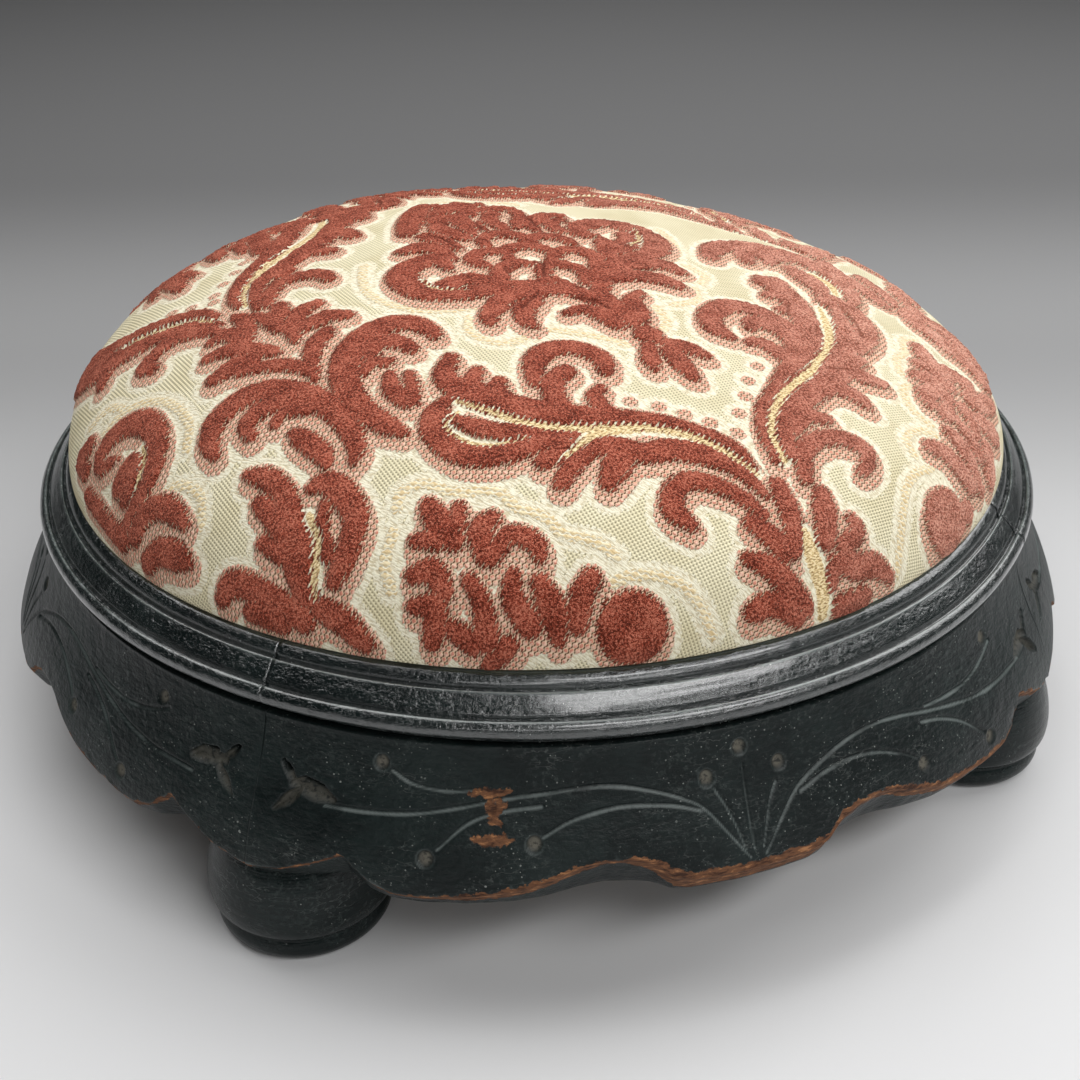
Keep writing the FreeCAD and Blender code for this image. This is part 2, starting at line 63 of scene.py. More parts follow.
def make_camera():
    """Forward from turn and pitch, right level with the floor, both rolled about forward."""
    forward = Vector((math.sin(CAMERA_TURN) * math.cos(CAMERA_PITCH),
                      math.cos(CAMERA_TURN) * math.cos(CAMERA_PITCH), -math.sin(CAMERA_PITCH)))
    level = forward.cross(Vector((0, 0, 1))).normalized()
    upright = level.cross(forward)
    right = level * math.cos(CAMERA_ROLL) + upright * math.sin(CAMERA_ROLL)
    up = right.cross(forward)
    camera = bpy.data.objects.new("camera", bpy.data.cameras.new("camera"))
    camera.data.lens = CAMERA_LENS
    camera.data.sensor_width = 36.0
    camera.data.clip_start = 0.01
    rows = [(right[i], up[i], -forward[i], CAMERA_AT[i]) for i in range(3)]
    camera.matrix_world = Matrix(rows + [(0, 0, 0, 1)])
    bpy.context.scene.collection.objects.link(camera)
    bpy.context.scene.camera = camera
    return forward


view_forward = make_camera()
print("camera looks along", [round(value, 3) for value in view_forward])

# %% [markdown]
# ## Small helpers for shader nodes
# Every finish below is a node tree. A signal stands for one output of a node, and it can be added,
# subtracted and multiplied like a number: each sign makes a Math node. Short functions add the
# other nodes. A group only ever puts out masks and values, and the Principled BSDF stays in the
# material.

# %% Node helpers


class Signal:
    """One output of a node; signal[name] is another output of the same node."""

    def __init__(self, tree, socket):
        self.tree, self.socket = tree, socket

    def __getitem__(self, name):
        return Signal(self.tree, self.socket.node.outputs[name])

    def __add__(self, other):
        return maths("ADD", self, other)

    def __radd__(self, other):
        return maths("ADD", other, self)

    def __sub__(self, other):
        return maths("SUBTRACT", self, other)

    def __rsub__(self, other):
        return maths("SUBTRACT", other, self)

    def __mul__(self, other):
        return maths("MULTIPLY", self, other)


def feed(tree, socket, value):
    """Link a signal to a socket, or set the socket to a plain value."""
    if isinstance(value, Signal):
        tree.links.new(value.socket, socket)
    else:
        socket.default_value = value


def put(tree, kind, settings=None, **inputs):
    """Add a node and return its first output; settings are its properties, and inputs its sockets
    by name or by index (_0, _1)."""
    node = tree.nodes.new("ShaderNode" + kind)
    for name, value in (settings or {}).items():
        setattr(node, name, value)
    for name, value in inputs.items():
        key = int(name[1:]) if name[0] == "_" else name.replace("_", " ")
        feed(tree, node.inputs[key], value)
    return Signal(tree, node.outputs[0])


def tree_of(*values):
    """The tree of the first signal among the values."""
    return next(value.tree for value in values if isinstance(value, Signal))


def maths(operation, first, second=0.0, clamp=False):
    return put(tree_of(first, second), "Math", {"operation": operation, "use_clamp": clamp},
               _0=first, _1=second)


def larger(first, second):
    return maths("MAXIMUM", first, second)


def smaller(first, second):
    return maths("MINIMUM", first, second)


def blend(factor, first, second):
    """Mix two colours by a factor."""
    tree = tree_of(factor, first, second)
    node = tree.nodes.new("ShaderNodeMix")
    node.data_type = "RGBA"
    for index, value in ((0, factor), (6, first), (7, second)):
        feed(tree, node.inputs[index], value)
    return Signal(tree, node.outputs[2])


def ramp(value, low, high):
    """A smooth step of the value from 0 at low to 1 at high."""
    return put(value.tree, "MapRange", {"interpolation_type": "SMOOTHSTEP"},
               _0=value, _1=low, _2=high)


def noise(vector, scale, detail=2.0, roughness=0.5):
    return put(vector.tree, "TexNoise", Vector=vector, Scale=scale, Detail=detail,
               Roughness=roughness)


def stretched(vector, scale):
    """The vector scaled along each axis, to stretch a pattern."""
    return put(vector.tree, "Mapping", Vector=vector, Scale=scale)


def turned(vector, angle):
    """The vector turned about its third axis."""
    return put(vector.tree, "Mapping", Vector=vector, Rotation=(0, 0, angle))


def bump(height, strength, distance):
    return put(height.tree, "Bump", Strength=strength, Distance=distance, Height=height)


def attribute(tree, name, output="Fac"):
    return put(tree, "Attribute", {"attribute_name": name})[output]


def new_group(name, inputs, *outputs):
    """A group of float outputs; an input is a float with the given start value, or a vector where
    that is None. Returns the group, its inputs as signals and the sockets of its outputs."""
    group = bpy.data.node_groups.new(name, "ShaderNodeTree")
    for socket, value in inputs.items():
        kind = "NodeSocketVector" if value is None else "NodeSocketFloat"
        made = group.interface.new_socket(socket, in_out="INPUT", socket_type=kind)
        if value is not None:
            made.default_value = value
    for socket in outputs:
        group.interface.new_socket(socket, in_out="OUTPUT", socket_type="NodeSocketFloat")
    into = Signal(group, group.nodes.new("NodeGroupInput").outputs[0])
    return group, into, group.nodes.new("NodeGroupOutput").inputs


def use(group, **inputs):
    """Add a group to the tree of its Vector signal and return its first output."""
    tree = inputs["Vector"].tree
    node = tree.nodes.new("ShaderNodeGroup")
    node.node_tree = group
    for name, value in inputs.items():
        feed(tree, node.inputs[name], value)
    return Signal(tree, node.outputs[0])


def finish(material, **inputs):
    """Feed sockets of the material's Principled BSDF."""
    tree = material.node_tree
    for name, value in inputs.items():
        feed(tree, tree.nodes["Principled BSDF"].inputs[name.replace("_", " ")], value)


def new_material(name, **principled):
    """A material with one Principled BSDF; returns it with its tree and its Object coordinates."""
    material = bpy.data.materials.new(name)
    material.use_nodes = True
    finish(material, **principled)
    return material, material.node_tree, put(material.node_tree, "TexCoord")["Object"]


print("node helpers ready")

# %% [markdown]
# ## Worn places
# Old ebonised wood shows its age first along its edges, where hands and shoes rub the black away
# down to the brown wood. Each wooden mesh carries a "bare" attribute: the distance in millimetres
# to the nearest bare place, negative inside it. This group shifts that distance by a noise, which
# tears the smooth outline into tatters.

# %% Group: worn places
TATTERS_MM = 4.5
worn_edge, into, out = new_group(
    "worn places", {"Vector": None, "Reach": 3.0, "Scale": 330.0}, "Mask")
torn = into["Reach"] + (noise(into["Vector"], into["Scale"], 4.0, 0.65) - 0.5) * TATTERS_MM
feed(worn_edge, out["Mask"], ramp(torn, 0.16, -0.16))
print("group:", worn_edge.name)

# %% [markdown]
# ## Specks and scratches
# In the light, old black polish is full of small pale marks: specks of dust and filler, fine
# scratches, and dull rubbed patches. Specks are the small cells of a Voronoi pattern, kept only
# where a random value per cell is low. Scratches are the thin lines where a noise crosses its
# middle value, kept only in some places.

# %% Groups: specks and scratches
specks, into, out = new_group(
    "specks", {"Vector": None, "Scale": 500.0, "Share": 0.1, "Size": 0.25}, "Mask")
cells = put(specks, "TexVoronoi", Vector=into["Vector"], Scale=into["Scale"])
keep = maths("LESS_THAN", put(specks, "SeparateColor", _0=cells["Color"]), into["Share"])
wobble = noise(into["Vector"], 900.0, 1.0) * 0.5
near = maths("LESS_THAN", cells["Distance"] + wobble, into["Size"] + 0.25)
feed(specks, out["Mask"], keep * near)

scratches, into, out = new_group(
    "scratches", {"Vector": None, "Scale": 120.0, "Share": 0.5}, "Mask")
from_middle = maths("ABSOLUTE", noise(into["Vector"], into["Scale"], 3.0, 0.55) - 0.5)
where = ramp(noise(into["Vector"], 38.0), 1.0 - into["Share"], 0.9)
feed(scratches, out["Mask"], (1.0 - ramp(from_middle, 0.004, 0.012)) * where)
print("groups:", specks.name, scratches.name)

# %% [markdown]
# ## Ebonised wood
# Ebonising is a black stain under a thin dark polish, here with a touch of blue-green. Under it
# lies a reddish brown wood, which shows where the edge is worn. Three attributes steer the finish:
# "bare" for worn places, "dusty" for the floors of the deeper cuts, where grey dust and wax have
# set, and a third for a painted highlight on the lower lips of the cuts, round the punched dots,
# along the rim's arrises and on the foot's lip, with a thin band rubbed light above the frame's
# lower edge. The bump is strong but fine, so a lamp above breaks up into many small glints instead
# of one smooth stripe. Only the rim has a varnish coat on top.

# %% Material: ebonised wood
EBONY, EBONY_LIGHT = (0.0022, 0.0055, 0.0055, 1), (0.0080, 0.0150, 0.0143, 1)
BARE_DARK, BARE_BROWN = (0.040, 0.017, 0.010, 1), (0.150, 0.066, 0.032, 1)
BARE_ORANGE, RUBBED_AND_HIGHLIT = (0.38, 0.175, 0.075, 1), (0.15, 0.175, 0.168, 1)
OLD_DUST, DUST_DARK = (0.135, 0.125, 0.10, 1), (0.034, 0.033, 0.029, 1)
DULLED, FLECK = (0.075, 0.09, 0.085, 1), (0.34, 0.36, 0.34, 1)


def ebonised(name, gloss, speckle, relief, shine, coat):
    """Black polish over brown wood: gloss is its lowest roughness, speckle the share of pale
    specks, relief the strength of its fine unevenness, shine its specular level, and coat its
    share of varnish."""
    material, tree, place = new_material(name, Specular_IOR_Level=shine, Coat_Weight=coat,
                                         Coat_Roughness=0.14)
    bare, dusty, highlight_and_rub = (attribute(tree, key) for key in ("bare", "dusty", "highlight_and_rub"))
    cloud = noise(place, 40.0, 4.0, 0.6)
    grain = noise(stretched(place, (260.0, 260.0, 900.0)), 1.0, 4.0, 0.65)
    pits = noise(place, 800.0, 3.0, 0.6)
    small = use(specks, Vector=place, Scale=820.0, Share=speckle, Size=0.12)
    large = use(specks, Vector=place, Scale=300.0, Share=speckle * 0.2, Size=0.05)
    scratch = use(scratches, Vector=stretched(place, (1.0, 1.0, 3.0)), Scale=110.0, Share=0.66)
    patch = ramp(noise(place, 45.0, 3.0, 0.6), 0.36, 0.64)
    marks = larger(larger(small, large), scratch * 0.45) * patch
    paint = blend(ramp(cloud * 0.6 + grain * 0.4, 0.38, 0.66), EBONY, EBONY_LIGHT)
    paint = blend(marks * 0.65, paint, FLECK)
    paint = blend(patch * ramp(pits, 0.52, 0.70) * 0.35, paint, DULLED)
    paint = blend(dusty * 0.9, paint, blend(ramp(pits, 0.32, 0.52), DUST_DARK, OLD_DUST))
    # painted highlight on cut lips, dot rims, arrises and the foot's lip, with a little real
    # rubbing
    paint = blend(highlight_and_rub * ramp(cloud, 0.30, 0.52) * 0.85, paint, RUBBED_AND_HIGHLIT)
    worn = use(worn_edge, Vector=place, Reach=bare)
    wood = blend(ramp(grain, 0.34, 0.52), BARE_DARK, BARE_BROWN)
    wood = blend(ramp(grain, 0.54, 0.68), wood, BARE_ORANGE)
    rough = gloss + cloud * 0.22 + larger(marks, dusty) * 0.35
    height = grain * 0.9 + pits * 0.75 + noise(place, 210.0) * 1.6 - worn * 0.7 + marks * 0.3
    finish(material, Base_Color=blend(worn, paint, wood),
           Roughness=maths("ADD", rough, worn * 0.4, clamp=True),
           Normal=bump(height, relief, 0.0006))
    return material


frame_wood = ebonised("ebonised_frame", gloss=0.30, speckle=0.56, relief=0.5, shine=0.27, coat=0.0)
rim_wood = ebonised("ebonised_rim", gloss=0.06, speckle=0.30, relief=0.7, shine=1.0, coat=1.0)
foot_wood = ebonised("ebonised_foot", gloss=0.14, speckle=0.10, relief=0.2, shine=0.26, coat=0.0)
print("materials:", frame_wood.name, rim_wood.name, foot_wood.name)

# %% [markdown]
# ## From arrays to a mesh
# Every new piece is computed as whole arrays: a table of points with one row per place on the
# profile and one column per place along the path. Blender takes such arrays in one go through
# foreach_set, which is far quicker than adding vertices one by one.

# %% Mesh from a grid of points


def quads_of(rows, columns, ring, first=0, close_rows=False):
    """Corner indices of the quads between neighbouring points of a grid, as one array."""
    i, j = np.meshgrid(np.arange(rows if close_rows else rows - 1),
                       np.arange(columns if ring else columns - 1), indexing="ij")
    below, beside = (i + 1) % rows, (j + 1) % columns
    corners = np.stack([i * columns + j, i * columns + beside, below * columns + beside,
                        below * columns + j], -1)
    return corners.reshape(-1, 4) + first


def fan_of(ring, tip, outward=True):
    """Triangles from a ring of indices to a tip point."""
    beside = np.roll(ring, -1)
    pair = (ring, beside) if outward else (beside, ring)
    return np.stack([*pair, np.full(len(ring), tip)], -1)


def mesh_object(name, points, quads, triangles=(), values=None, flat=True):
    """A smooth-shaded object from point, quad and triangle arrays, with named point values; the
    triangles close its ends, and flat ones keep a crisp corner round them."""
    mesh = bpy.data.meshes.new(name)
    triangles = np.asarray(triangles, int).reshape(-1, 3)
    corners = np.concatenate([quads.ravel(), triangles.ravel()])
    starts = np.concatenate([np.arange(len(quads)) * 4,
                             len(quads) * 4 + np.arange(len(triangles)) * 3])
    mesh.vertices.add(len(points))
    mesh.vertices.foreach_set("co", np.ascontiguousarray(points, np.float32).ravel())
    mesh.loops.add(len(corners))
    mesh.loops.foreach_set("vertex_index", corners.astype(np.int32))
    mesh.polygons.add(len(starts))
    mesh.polygons.foreach_set("loop_start", starts.astype(np.int32))
    mesh.update(calc_edges=True)
    for value_name, value in (values or {}).items():
        layer = mesh.attributes.new(value_name, "FLOAT", "POINT")
        layer.data.foreach_set("value", np.ascontiguousarray(value, np.float32).ravel())
    smooth = np.ones(len(starts), bool)
    smooth[len(quads):] = not flat
    mesh.polygons.foreach_set("use_smooth", smooth)
    mesh.update()
    piece = bpy.data.objects.new(name, mesh)
    bpy.context.scene.collection.objects.link(piece)
    return piece


def ring_turns(columns):
    """Even turn angles round a full circle, as one row."""
    return (np.arange(columns) * 2 * math.pi / columns)[None, :]


def spun(radius, turns, height):
    """Points from radius, turn and height: radius times cosine, radius times sine, and height."""
    return np.stack(np.broadcast_arrays(radius * np.cos(turns), radius * np.sin(turns), height), -1)


def ring_solid(name, points, last_tip, first_tip, values=None, flat=True):
    """A closed object from rings of points, with a fan to a tip from its last and first ring."""
    rows, columns = points.shape[:2]
    count, ring = rows * columns, np.arange(columns)
    fans = np.vstack([fan_of(count - columns + ring, count, True), fan_of(ring, count + 1, False)])
    points = np.vstack([points.reshape(-1, 3), last_tip, first_tip])
    return mesh_object(name, points * MM, quads_of(rows, columns, True), fans, values, flat)


def dress(piece, material, slot, *stands_for):
    """Give a new piece its material, its body and the CAD nodes that it replaces; the slot is not
    used.
    """
    piece.data.materials.append(material)
    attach(piece, "root")
    if stands_for:
        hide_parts(*stands_for)
    triangles = len(piece.data.loops) - 2 * len(piece.data.polygons)
    print("%-22s %7d triangles" % (piece.name, triangles))
    return piece


def ripples(seed, count, *coordinates, size=1.0, scale=1.0):
    """Smooth random waves: a sum of sines with seeded directions and phases, about -1 to 1."""
    random = np.random.default_rng(seed)
    total = 0.0
    for _ in range(count):
        turn = sum(c * random.normal(0, scale) for c in coordinates) + random.uniform(0, 6.3)
        total = total + np.sin(turn)
    return size * total / math.sqrt(count)


print("mesh helpers ready")

# %% [markdown]
# ## Lines as distances
# The carving on the frame and the woven figure on the pad are both drawings. A drawing can be a
# picture, but then its edges turn to steps up close. Here every line is a chain of points with a
# half width, and each mesh point stores its distance to the nearest line. A distance is smooth
# from point to point, so an edge that is cut from it later is crisp at any size.

# %% Distance to strokes


def chains(text, across=1.0):
    """Strokes from text: one per line, each a chain of x,y or x,y,half-width points; a line that
    starts with a space carries on the one before. Across is the length in mm of 1 in x."""
    rows = [[(*map(float, point.split(",")), 0.0)[:3] for point in line.split()]
            for line in text.replace("\n ", " ").splitlines() if line]
    return [np.array(row) * [across, 1, 1] for row in rows]


def smoothed(chain, steps=5):
    """A Catmull-Rom curve through the chain: each point's weights are cubics of the step."""
    if len(chain) < 3:
        return chain
    padded = np.vstack([2 * chain[0] - chain[1], chain, 2 * chain[-1] - chain[-2]])
    t = (np.arange(steps) / steps)[:, None, None]
    a, b, c, d = padded[:-3], padded[1:-2], padded[2:-1], padded[3:]
    curve = 0.5 * (2 * b + (c - a) * t + (2 * a - 5 * b + 4 * c - d) * t ** 2
                   + (3 * b - a - 3 * c + d) * t ** 3)
    return np.vstack([curve.transpose(1, 0, 2).reshape(-1, 3), chain[-1]])


def distance_to(strokes, x, y, reach=14.0):
    """Smallest distance from each (x, y) to the strokes, less their half width there."""
    best = np.full(x.shape, reach)
    for chain in strokes:
        curve = smoothed(chain)
        if len(curve) == 1:
            curve = np.vstack([curve, curve + [1e-3, 0, 0]])
        low, high = curve[:, :2].min(0) - reach, curve[:, :2].max(0) + reach
        inside = (x > low[0]) & (x < high[0]) & (y > low[1]) & (y < high[1])
        if not inside.any():
            continue
        px, py, nearest = x[inside], y[inside], best[inside]
        for start, end in zip(curve[:-1], curve[1:]):
            way = end - start
            share = np.clip(((px - start[0]) * way[0] + (py - start[1]) * way[1])
                            / max(way[0] ** 2 + way[1] ** 2, 1e-9), 0, 1)
            gap = np.hypot(px - start[0] - share * way[0], py - start[1] - share * way[1])
            nearest = np.minimum(nearest, gap - start[2] - share * way[2])
        best[inside] = nearest
    return best


print("a test stroke:", distance_to(chains("0,0,1 10,0,1"), np.array([5.0]), np.array([3.0])))

# %% [markdown]
# ## The moulded rim
# The rim is run with a moulding plane or turned: a nose over a recess, two sharp-edged steps with
# a hollow between, and a bead against the fabric. It is a profile carried along a quarter circle,
# so its points are the profile's radius and height times the cosine and sine of the turn. A real
# moulding of this age is not sharp any more, so every arris gets a small rounding, and the profile
# wanders by a few hundredths of a millimetre along the way.

# %% Rim quarters
BORE, SEAT = 146.3, 72.5
QUARTERS = {"right": 0, "rear": 90, "left": 180, "front": 270}
JOINT = 0.005  # gap at each end of a quarter, in degrees
RIM_DEGREE = 2.79  # millimetres along the rim in a degree of turn
RIM_STEP, RIM_SOFTENING, RIM_COLUMNS = 0.45, 0.7, 200
ARRIS_SPREAD, DENT_FROM, DENT_DEPTH = 0.3, 1.5, 0.35
RIM_PROFILE = [
    (9.7, 0), (9.7, 2.3), (12.5, 3.1), (13.3, 3.7), (13.7, 4.6), (13.7, 5.6), (13.4, 6.5),
    (12.7, 7.4), (11.7, 8.1), (11.1, 7.6), (10.7, 6.9), (10.4, 7.5), (10.0, 8.7), (9.0, 9.9),
    (7.8, 11.2), (6.7, 12.3), (6.1, 12.9), (5.6, 12.4), (5.25, 11.7), (4.9, 12.5), (4.6, 13.8),
    (4.0, 14.8), (3.1, 15.6), (2.2, 16.05), (1.4, 16.05), (0.6, 15.7), (0.1, 15.1), (0, 14.4),
    (0, 0)]
RIM_ARRISES = [(11.7, 8.1), (6.1, 12.9), (1.6, 16.1)]
# bare chips under the nose: turn angle, height over the seat, half width in mm
RIM_CHIPS = """
10.5,3.2,.5 13,2.9,.8 16.5,3.0,.7 20,3.0,.4
-4,3.4,.1 -1,3.2,.35 2,3.4,.1
31,4.0,.9 32.5,3.6,.6
-43,3.2,.5 -42.4,3.0,.5
-30,16,.1
-21,2.9,.3 -20,2.8,.2
"""


def rounded_profile(corners, step, soften):
    """Points every step along a closed outline, averaged over a window to soften its corners."""
    outline = np.array(corners, float)
    closed = np.vstack([outline, outline[:1]])
    lengths = np.hypot(*np.diff(closed, axis=0).T)
    along = np.concatenate([[0], np.cumsum(lengths)])
    count = int(along[-1] / step)
    places = np.arange(count) * along[-1] / count
    points = np.stack([np.interp(places, along, closed[:, k]) for k in (0, 1)], -1)
    window = max(int(soften / step), 1)
    shifts = np.arange(-window, window + 1)
    weights = np.exp(-(shifts / (0.5 * window)) ** 2)
    total = sum(w * np.roll(points, s, axis=0) for s, w in zip(shifts, weights))
    return total / weights.sum()


def quarter_turns(middle, columns, gap):
    """Angles over a quarter, less the joint's gap at its ends, in radians."""
    half = 45.0 - gap
    return np.radians(middle + np.linspace(-half, half, columns))


def closed_sweep(name, radius, height, turns, values, middle):
    """A closed profile at every turn angle, with flat caps at both ends, fanned from (radius,
    height) in the middle of the wood."""
    rows, columns = radius.shape
    points = np.vstack([spun(radius, turns, height).reshape(-1, 3),
                        spun(middle[0], turns[0, [0, -1]], middle[1])])
    first = np.arange(rows) * columns
    caps = np.vstack([fan_of(first, rows * columns, True),
                      fan_of(first + columns - 1, rows * columns + 1, False)])
    values = {key: np.append(np.broadcast_to(value, radius.shape), [0, 0])
              for key, value in values.items()}
    quads = quads_of(rows, columns, False, close_rows=True)
    return mesh_object(name, points * MM, quads, caps, values)


def make_rim(place, middle):
    """The profile carried round with its small wander, dents along the arrises, and bare chips."""
    profile = rounded_profile(RIM_PROFILE, RIM_STEP, RIM_SOFTENING)
    turns = quarter_turns(middle, RIM_COLUMNS, JOINT)[None, :]
    reach, lift = profile[:, :1], profile[:, 1:]
    drift = (ripples(middle + 3, 6, turns, scale=9.0, size=0.05)
             + ripples(middle + 5, 8, turns, lift / 3, scale=30.0, size=0.03))
    radius = BORE + reach + drift * np.clip((reach - 0.4) / 2, 0, 1)
    rise = ripples(middle + 7, 6, turns, scale=11.0, size=0.04)
    height = SEAT + lift + rise * np.clip(lift - 0.3, 0, 1)
    edge = sum(np.exp(-((reach - r) ** 2 + (lift - z) ** 2) / ARRIS_SPREAD)
               for r, z in RIM_ARRISES)
    dents = np.clip(ripples(middle + 11, 14, turns, scale=120.0) - DENT_FROM, 0, 1)
    radius = radius - dents * DENT_DEPTH * edge * (reach > 3.3)
    shift = 0 if place == "front" else 0.13 * middle - 14
    along, above = np.broadcast_arrays((np.degrees(turns) - middle + shift) * RIM_DEGREE, lift)
    gap = distance_to(chains(RIM_CHIPS, RIM_DEGREE), along, above, 3.0)
    # the arrises carry a painted highlight, as a mask that the material lightens
    values = {"bare": np.where(reach > 9, gap + 0.5, 3.0), "dusty": 0.0,
              "highlight_and_rub": np.clip(edge, 0, 1)}
    piece = closed_sweep("moulded_rim_" + place, radius, height, turns, values,
                         (BORE + 5, SEAT + 4))
    return dress(piece, rim_wood, "ebonised_wood", "rim_" + place)


for place, middle in QUARTERS.items():
    make_rim(place, middle)

# %% [markdown]
# ## The carved frame
# Each frame quarter is a flared board: its outside leans in from the foot to the rim in a slow
# S-curve, a hollow above a belly. Its lower edge is fretted into lobes that rise between the feet
# and drop at the middle and onto each foot. The sawn edge slopes back underneath, which is why it
# catches the light in places. The lobes are one curve of height over turn angle, the same for all
# four quarters and mirrored about the middle.

# %% Frame form
FRAME_FOOT, FRAME_TOP, WAIST = 32.0, 72.5, 52.5
FOOT_RADIUS, WAIST_RADIUS, TOP_RADIUS = 174.4, 166.4, 157.9
HOLLOW, BELLY = 0.7, 0.9
EDGE_TURNS = [0, 5.5, 7.2, 8.1, 9, 10.7, 13, 15.2, 18, 21, 24.5, 28.5, 31.4, 33.6, 36, 38.5, 41.5,
              45]
EDGE_HEIGHTS = [37.1, 37.4, 38.6, 41.1, 42.9, 44.4, 45.0, 43.8, 40.6, 38.0, 36.4, 35.3, 35.3, 37.8,
                43.0, 39.3, 35.4, 33.2]


def edge_height(turn):
    """Height of the fretted lower edge: a smoothed run through the lobes' heights."""
    fine = np.linspace(-1.5, 46.5, 1601)
    lobes = np.interp(np.abs(fine), EDGE_TURNS, EDGE_HEIGHTS)
    window = np.exp(-(np.linspace(-2, 2, 41)) ** 2)
    lobes = np.convolve(np.pad(lobes, 20, mode="edge"), window / window.sum(), "valid")
    return np.interp(np.abs(turn), fine, lobes)


def outer_radius(height):
    """Two arcs as parabolas on straight chords: hollow above the waist, full below it."""
    upper = (height - WAIST) / (FRAME_TOP - WAIST)
    lower = (height - FRAME_FOOT) / (WAIST - FRAME_FOOT)
    above = WAIST_RADIUS + (TOP_RADIUS - WAIST_RADIUS) * upper - 4 * HOLLOW * upper * (1 - upper)
    below = FOOT_RADIUS + (WAIST_RADIUS - FOOT_RADIUS) * lower + 4 * BELLY * lower * (1 - lower)
    return np.where(height > WAIST, above, below)


print("lower edge heights:", [round(float(edge_height(t)), 1) for t in (0, 13, 28, 36, 45)])

# %% [markdown]
# ## The carved sprays
# Two long stems grow from the middle lobe of each quarter and curl out to the feet. They are cut
# with a small V-tool, and each side stem ends in a round punched dot. Three short gouge cuts make
# a trefoil near the foot. The table holds each line as chains of turn angle and height, drawn for
# the front quarter, and the other quarters repeat them, a little off, as a carver would.

# %% The carver's drawing
STEMS = """
-.5,41 -2,47 -4,54 -6,57.5 -9,60.5 -12,62.3 -15,62.4 -18,61.5 -22,60 -26,57.5 -30,55.3 -34,54.3
 -38,53.9
-4.5,54.2 -7,56.3 -10.5,57.4 -13,57 -16,55 -18.5,51.5
-18.5,58.5 -22,57.2 -25,54.2 -27.5,48
-24,62 -27,61.3 -30,62.2 -32,64.8
-.8,43 -1.8,52 -3,58.5
-.1,43 -.2,52 -.2,63
.8,43 1.8,52 2.8,57
1,41 3,49 5,54.5 8,58.5 11,61 14,61.8 17,61 21,58.3 25,55.6 29,53.2 33,52 38,51.5
5,53 8,55.6 11,56.3 14,55 17,51.5 18.3,49
20,56.5 22.5,54.6 25.4,50.5 28.2,43.5
21,59.5 26,58.3 30,59.3 33.5,62.5
"""
PUNCHES = """
-19.2,49.7
-28.5,45.2
-33,66
-3.7,61
-.3,67
3.4,61
19,46.5
29,41
32.5,64.5
"""
GOUGES = """
-37.3,54.9,1.1 -38.7,56,2.3 -40.3,56.7,2.1 -41.3,56.6,1.2
-40.7,55.2,1.2 -41.6,52.9,1.7 -42.8,50,.7
-41.4,57.6,1 -42,59.4,1.3 -42.6,61.2,.8
37.6,52,1.1 38.9,53.2,2.2 40.4,53.7,2 41.4,53.6,1
40.7,52,1.1 41.6,49.6,1.6 42.7,46.8,.7
41.3,54.6,1 42,56.6,1.2 42.6,58.4,.7
"""
HOLES = """
-42,59.6,.9 -42.5,61,.6
-38.4,57.4,.5 -40.2,58.3,.7
42,56.9,.8 42.5,58.2,.5
38.6,54.8,.4 40.2,55.4,.7
"""
# worn places of the front board: rubbed patches, then the width of the bare band on the sawn edge
RUBBED_PATCHES = """
-21,50.7,.8 -22.8,50.3,1.5 -24.6,50.6,.6
-21.3,61.6,.6 -23.6,61.1,1.1 -25,60.9,.3
-21.8,58.4,1 -22.8,57.4,2
-22.6,55,1.1 -22.2,54.2,.6
-6.5,39.5,.6 -8.2,41.5,1.5 -9.4,43.2,.5
24,38.2,.4 27,36.6,.6
"""
WORN_TURNS = [-45, -31, -28, -25, -20, -15, -12, -10, -8, -6, 0, 5, 8, 12, 16, 30, 33, 36, 38, 42,
              45]
WORN_WIDTHS = [0.3, 0.6, 1.1, 2.2, 3.0, 2.2, 1.2, 3.0, 5.5, 5.5, 5.5, 5, 4.5, 2.2, 3.4, 3.6, 2.6, 1,
               1.8, 1.2, 1]
DEGREE = 2.87  # millimetres along the board in a degree of turn


def on_board(text, seed=0, lift=0.0):
    """Turn angles become millimetres along the board; a slow wave shifts each quarter's cuts."""
    drawn = chains(text, DEGREE)
    for chain in drawn:
        chain[:, 1] += lift
        if seed:
            chain[:, 0] += ripples(seed, 4, chain[:, 0] / 30, size=0.7)
            chain[:, 1] += ripples(seed + 1, 4, chain[:, 0] / 30, size=0.35)
    return drawn


print("cuts per quarter:", len(chains(STEMS)), "stems,", len(chains(PUNCHES)), "dots")

# %% [markdown]
# ## Cutting the board
# The board is a closed loop of points at each turn angle: up the carved outside, across the top,
# down the inner wall and back under along the sloped edge. The outside rows are close together,
# because a cut barely wider than a millimetre has to show in them. The depth of a V-cut falls in a
# straight line with the distance from its middle, and a punched dot is a shallow round bowl. The
# same distances go to the material, which lays grey dust on the floors of the cuts and a painted
# highlight on their lower lips and round the dots.

# %% Frame quarters
FRAME_COLUMNS, FACE_ROWS, UNDER_ROWS, SAWN_ROWS = 620, 122, 6, 9
FACE_TOP, INNER_RADIUS = FRAME_TOP - 0.05, 158.3
INNER_WALL = np.array([
    (157.0, FACE_TOP), (150.0, FACE_TOP), (140.6, FACE_TOP), (140.2, FRAME_TOP - 0.4),
    (149.0, 61.2), (157.6, 50.2), (158.0, 49.6), (158.0, 43.0), (158.0, 37.0),
    (158.0, FRAME_FOOT + 0.3), (INNER_RADIUS, FRAME_FOOT)])
V_DEPTH, V_HALF, PUNCH_DEPTH, PUNCH_HALF, GOUGE_DEPTH, HOLE_DEPTH = 0.66, 0.74, 0.9, 2.3, 1.9, 4.5
LIP_DROP, LEFT_LIFT = 0.46, 2.8
ROUNDING, ROUND_DEPTH, UNDER_RIM, SAWN_SLOPE = 0.9, 0.55, 71.2, 0.5


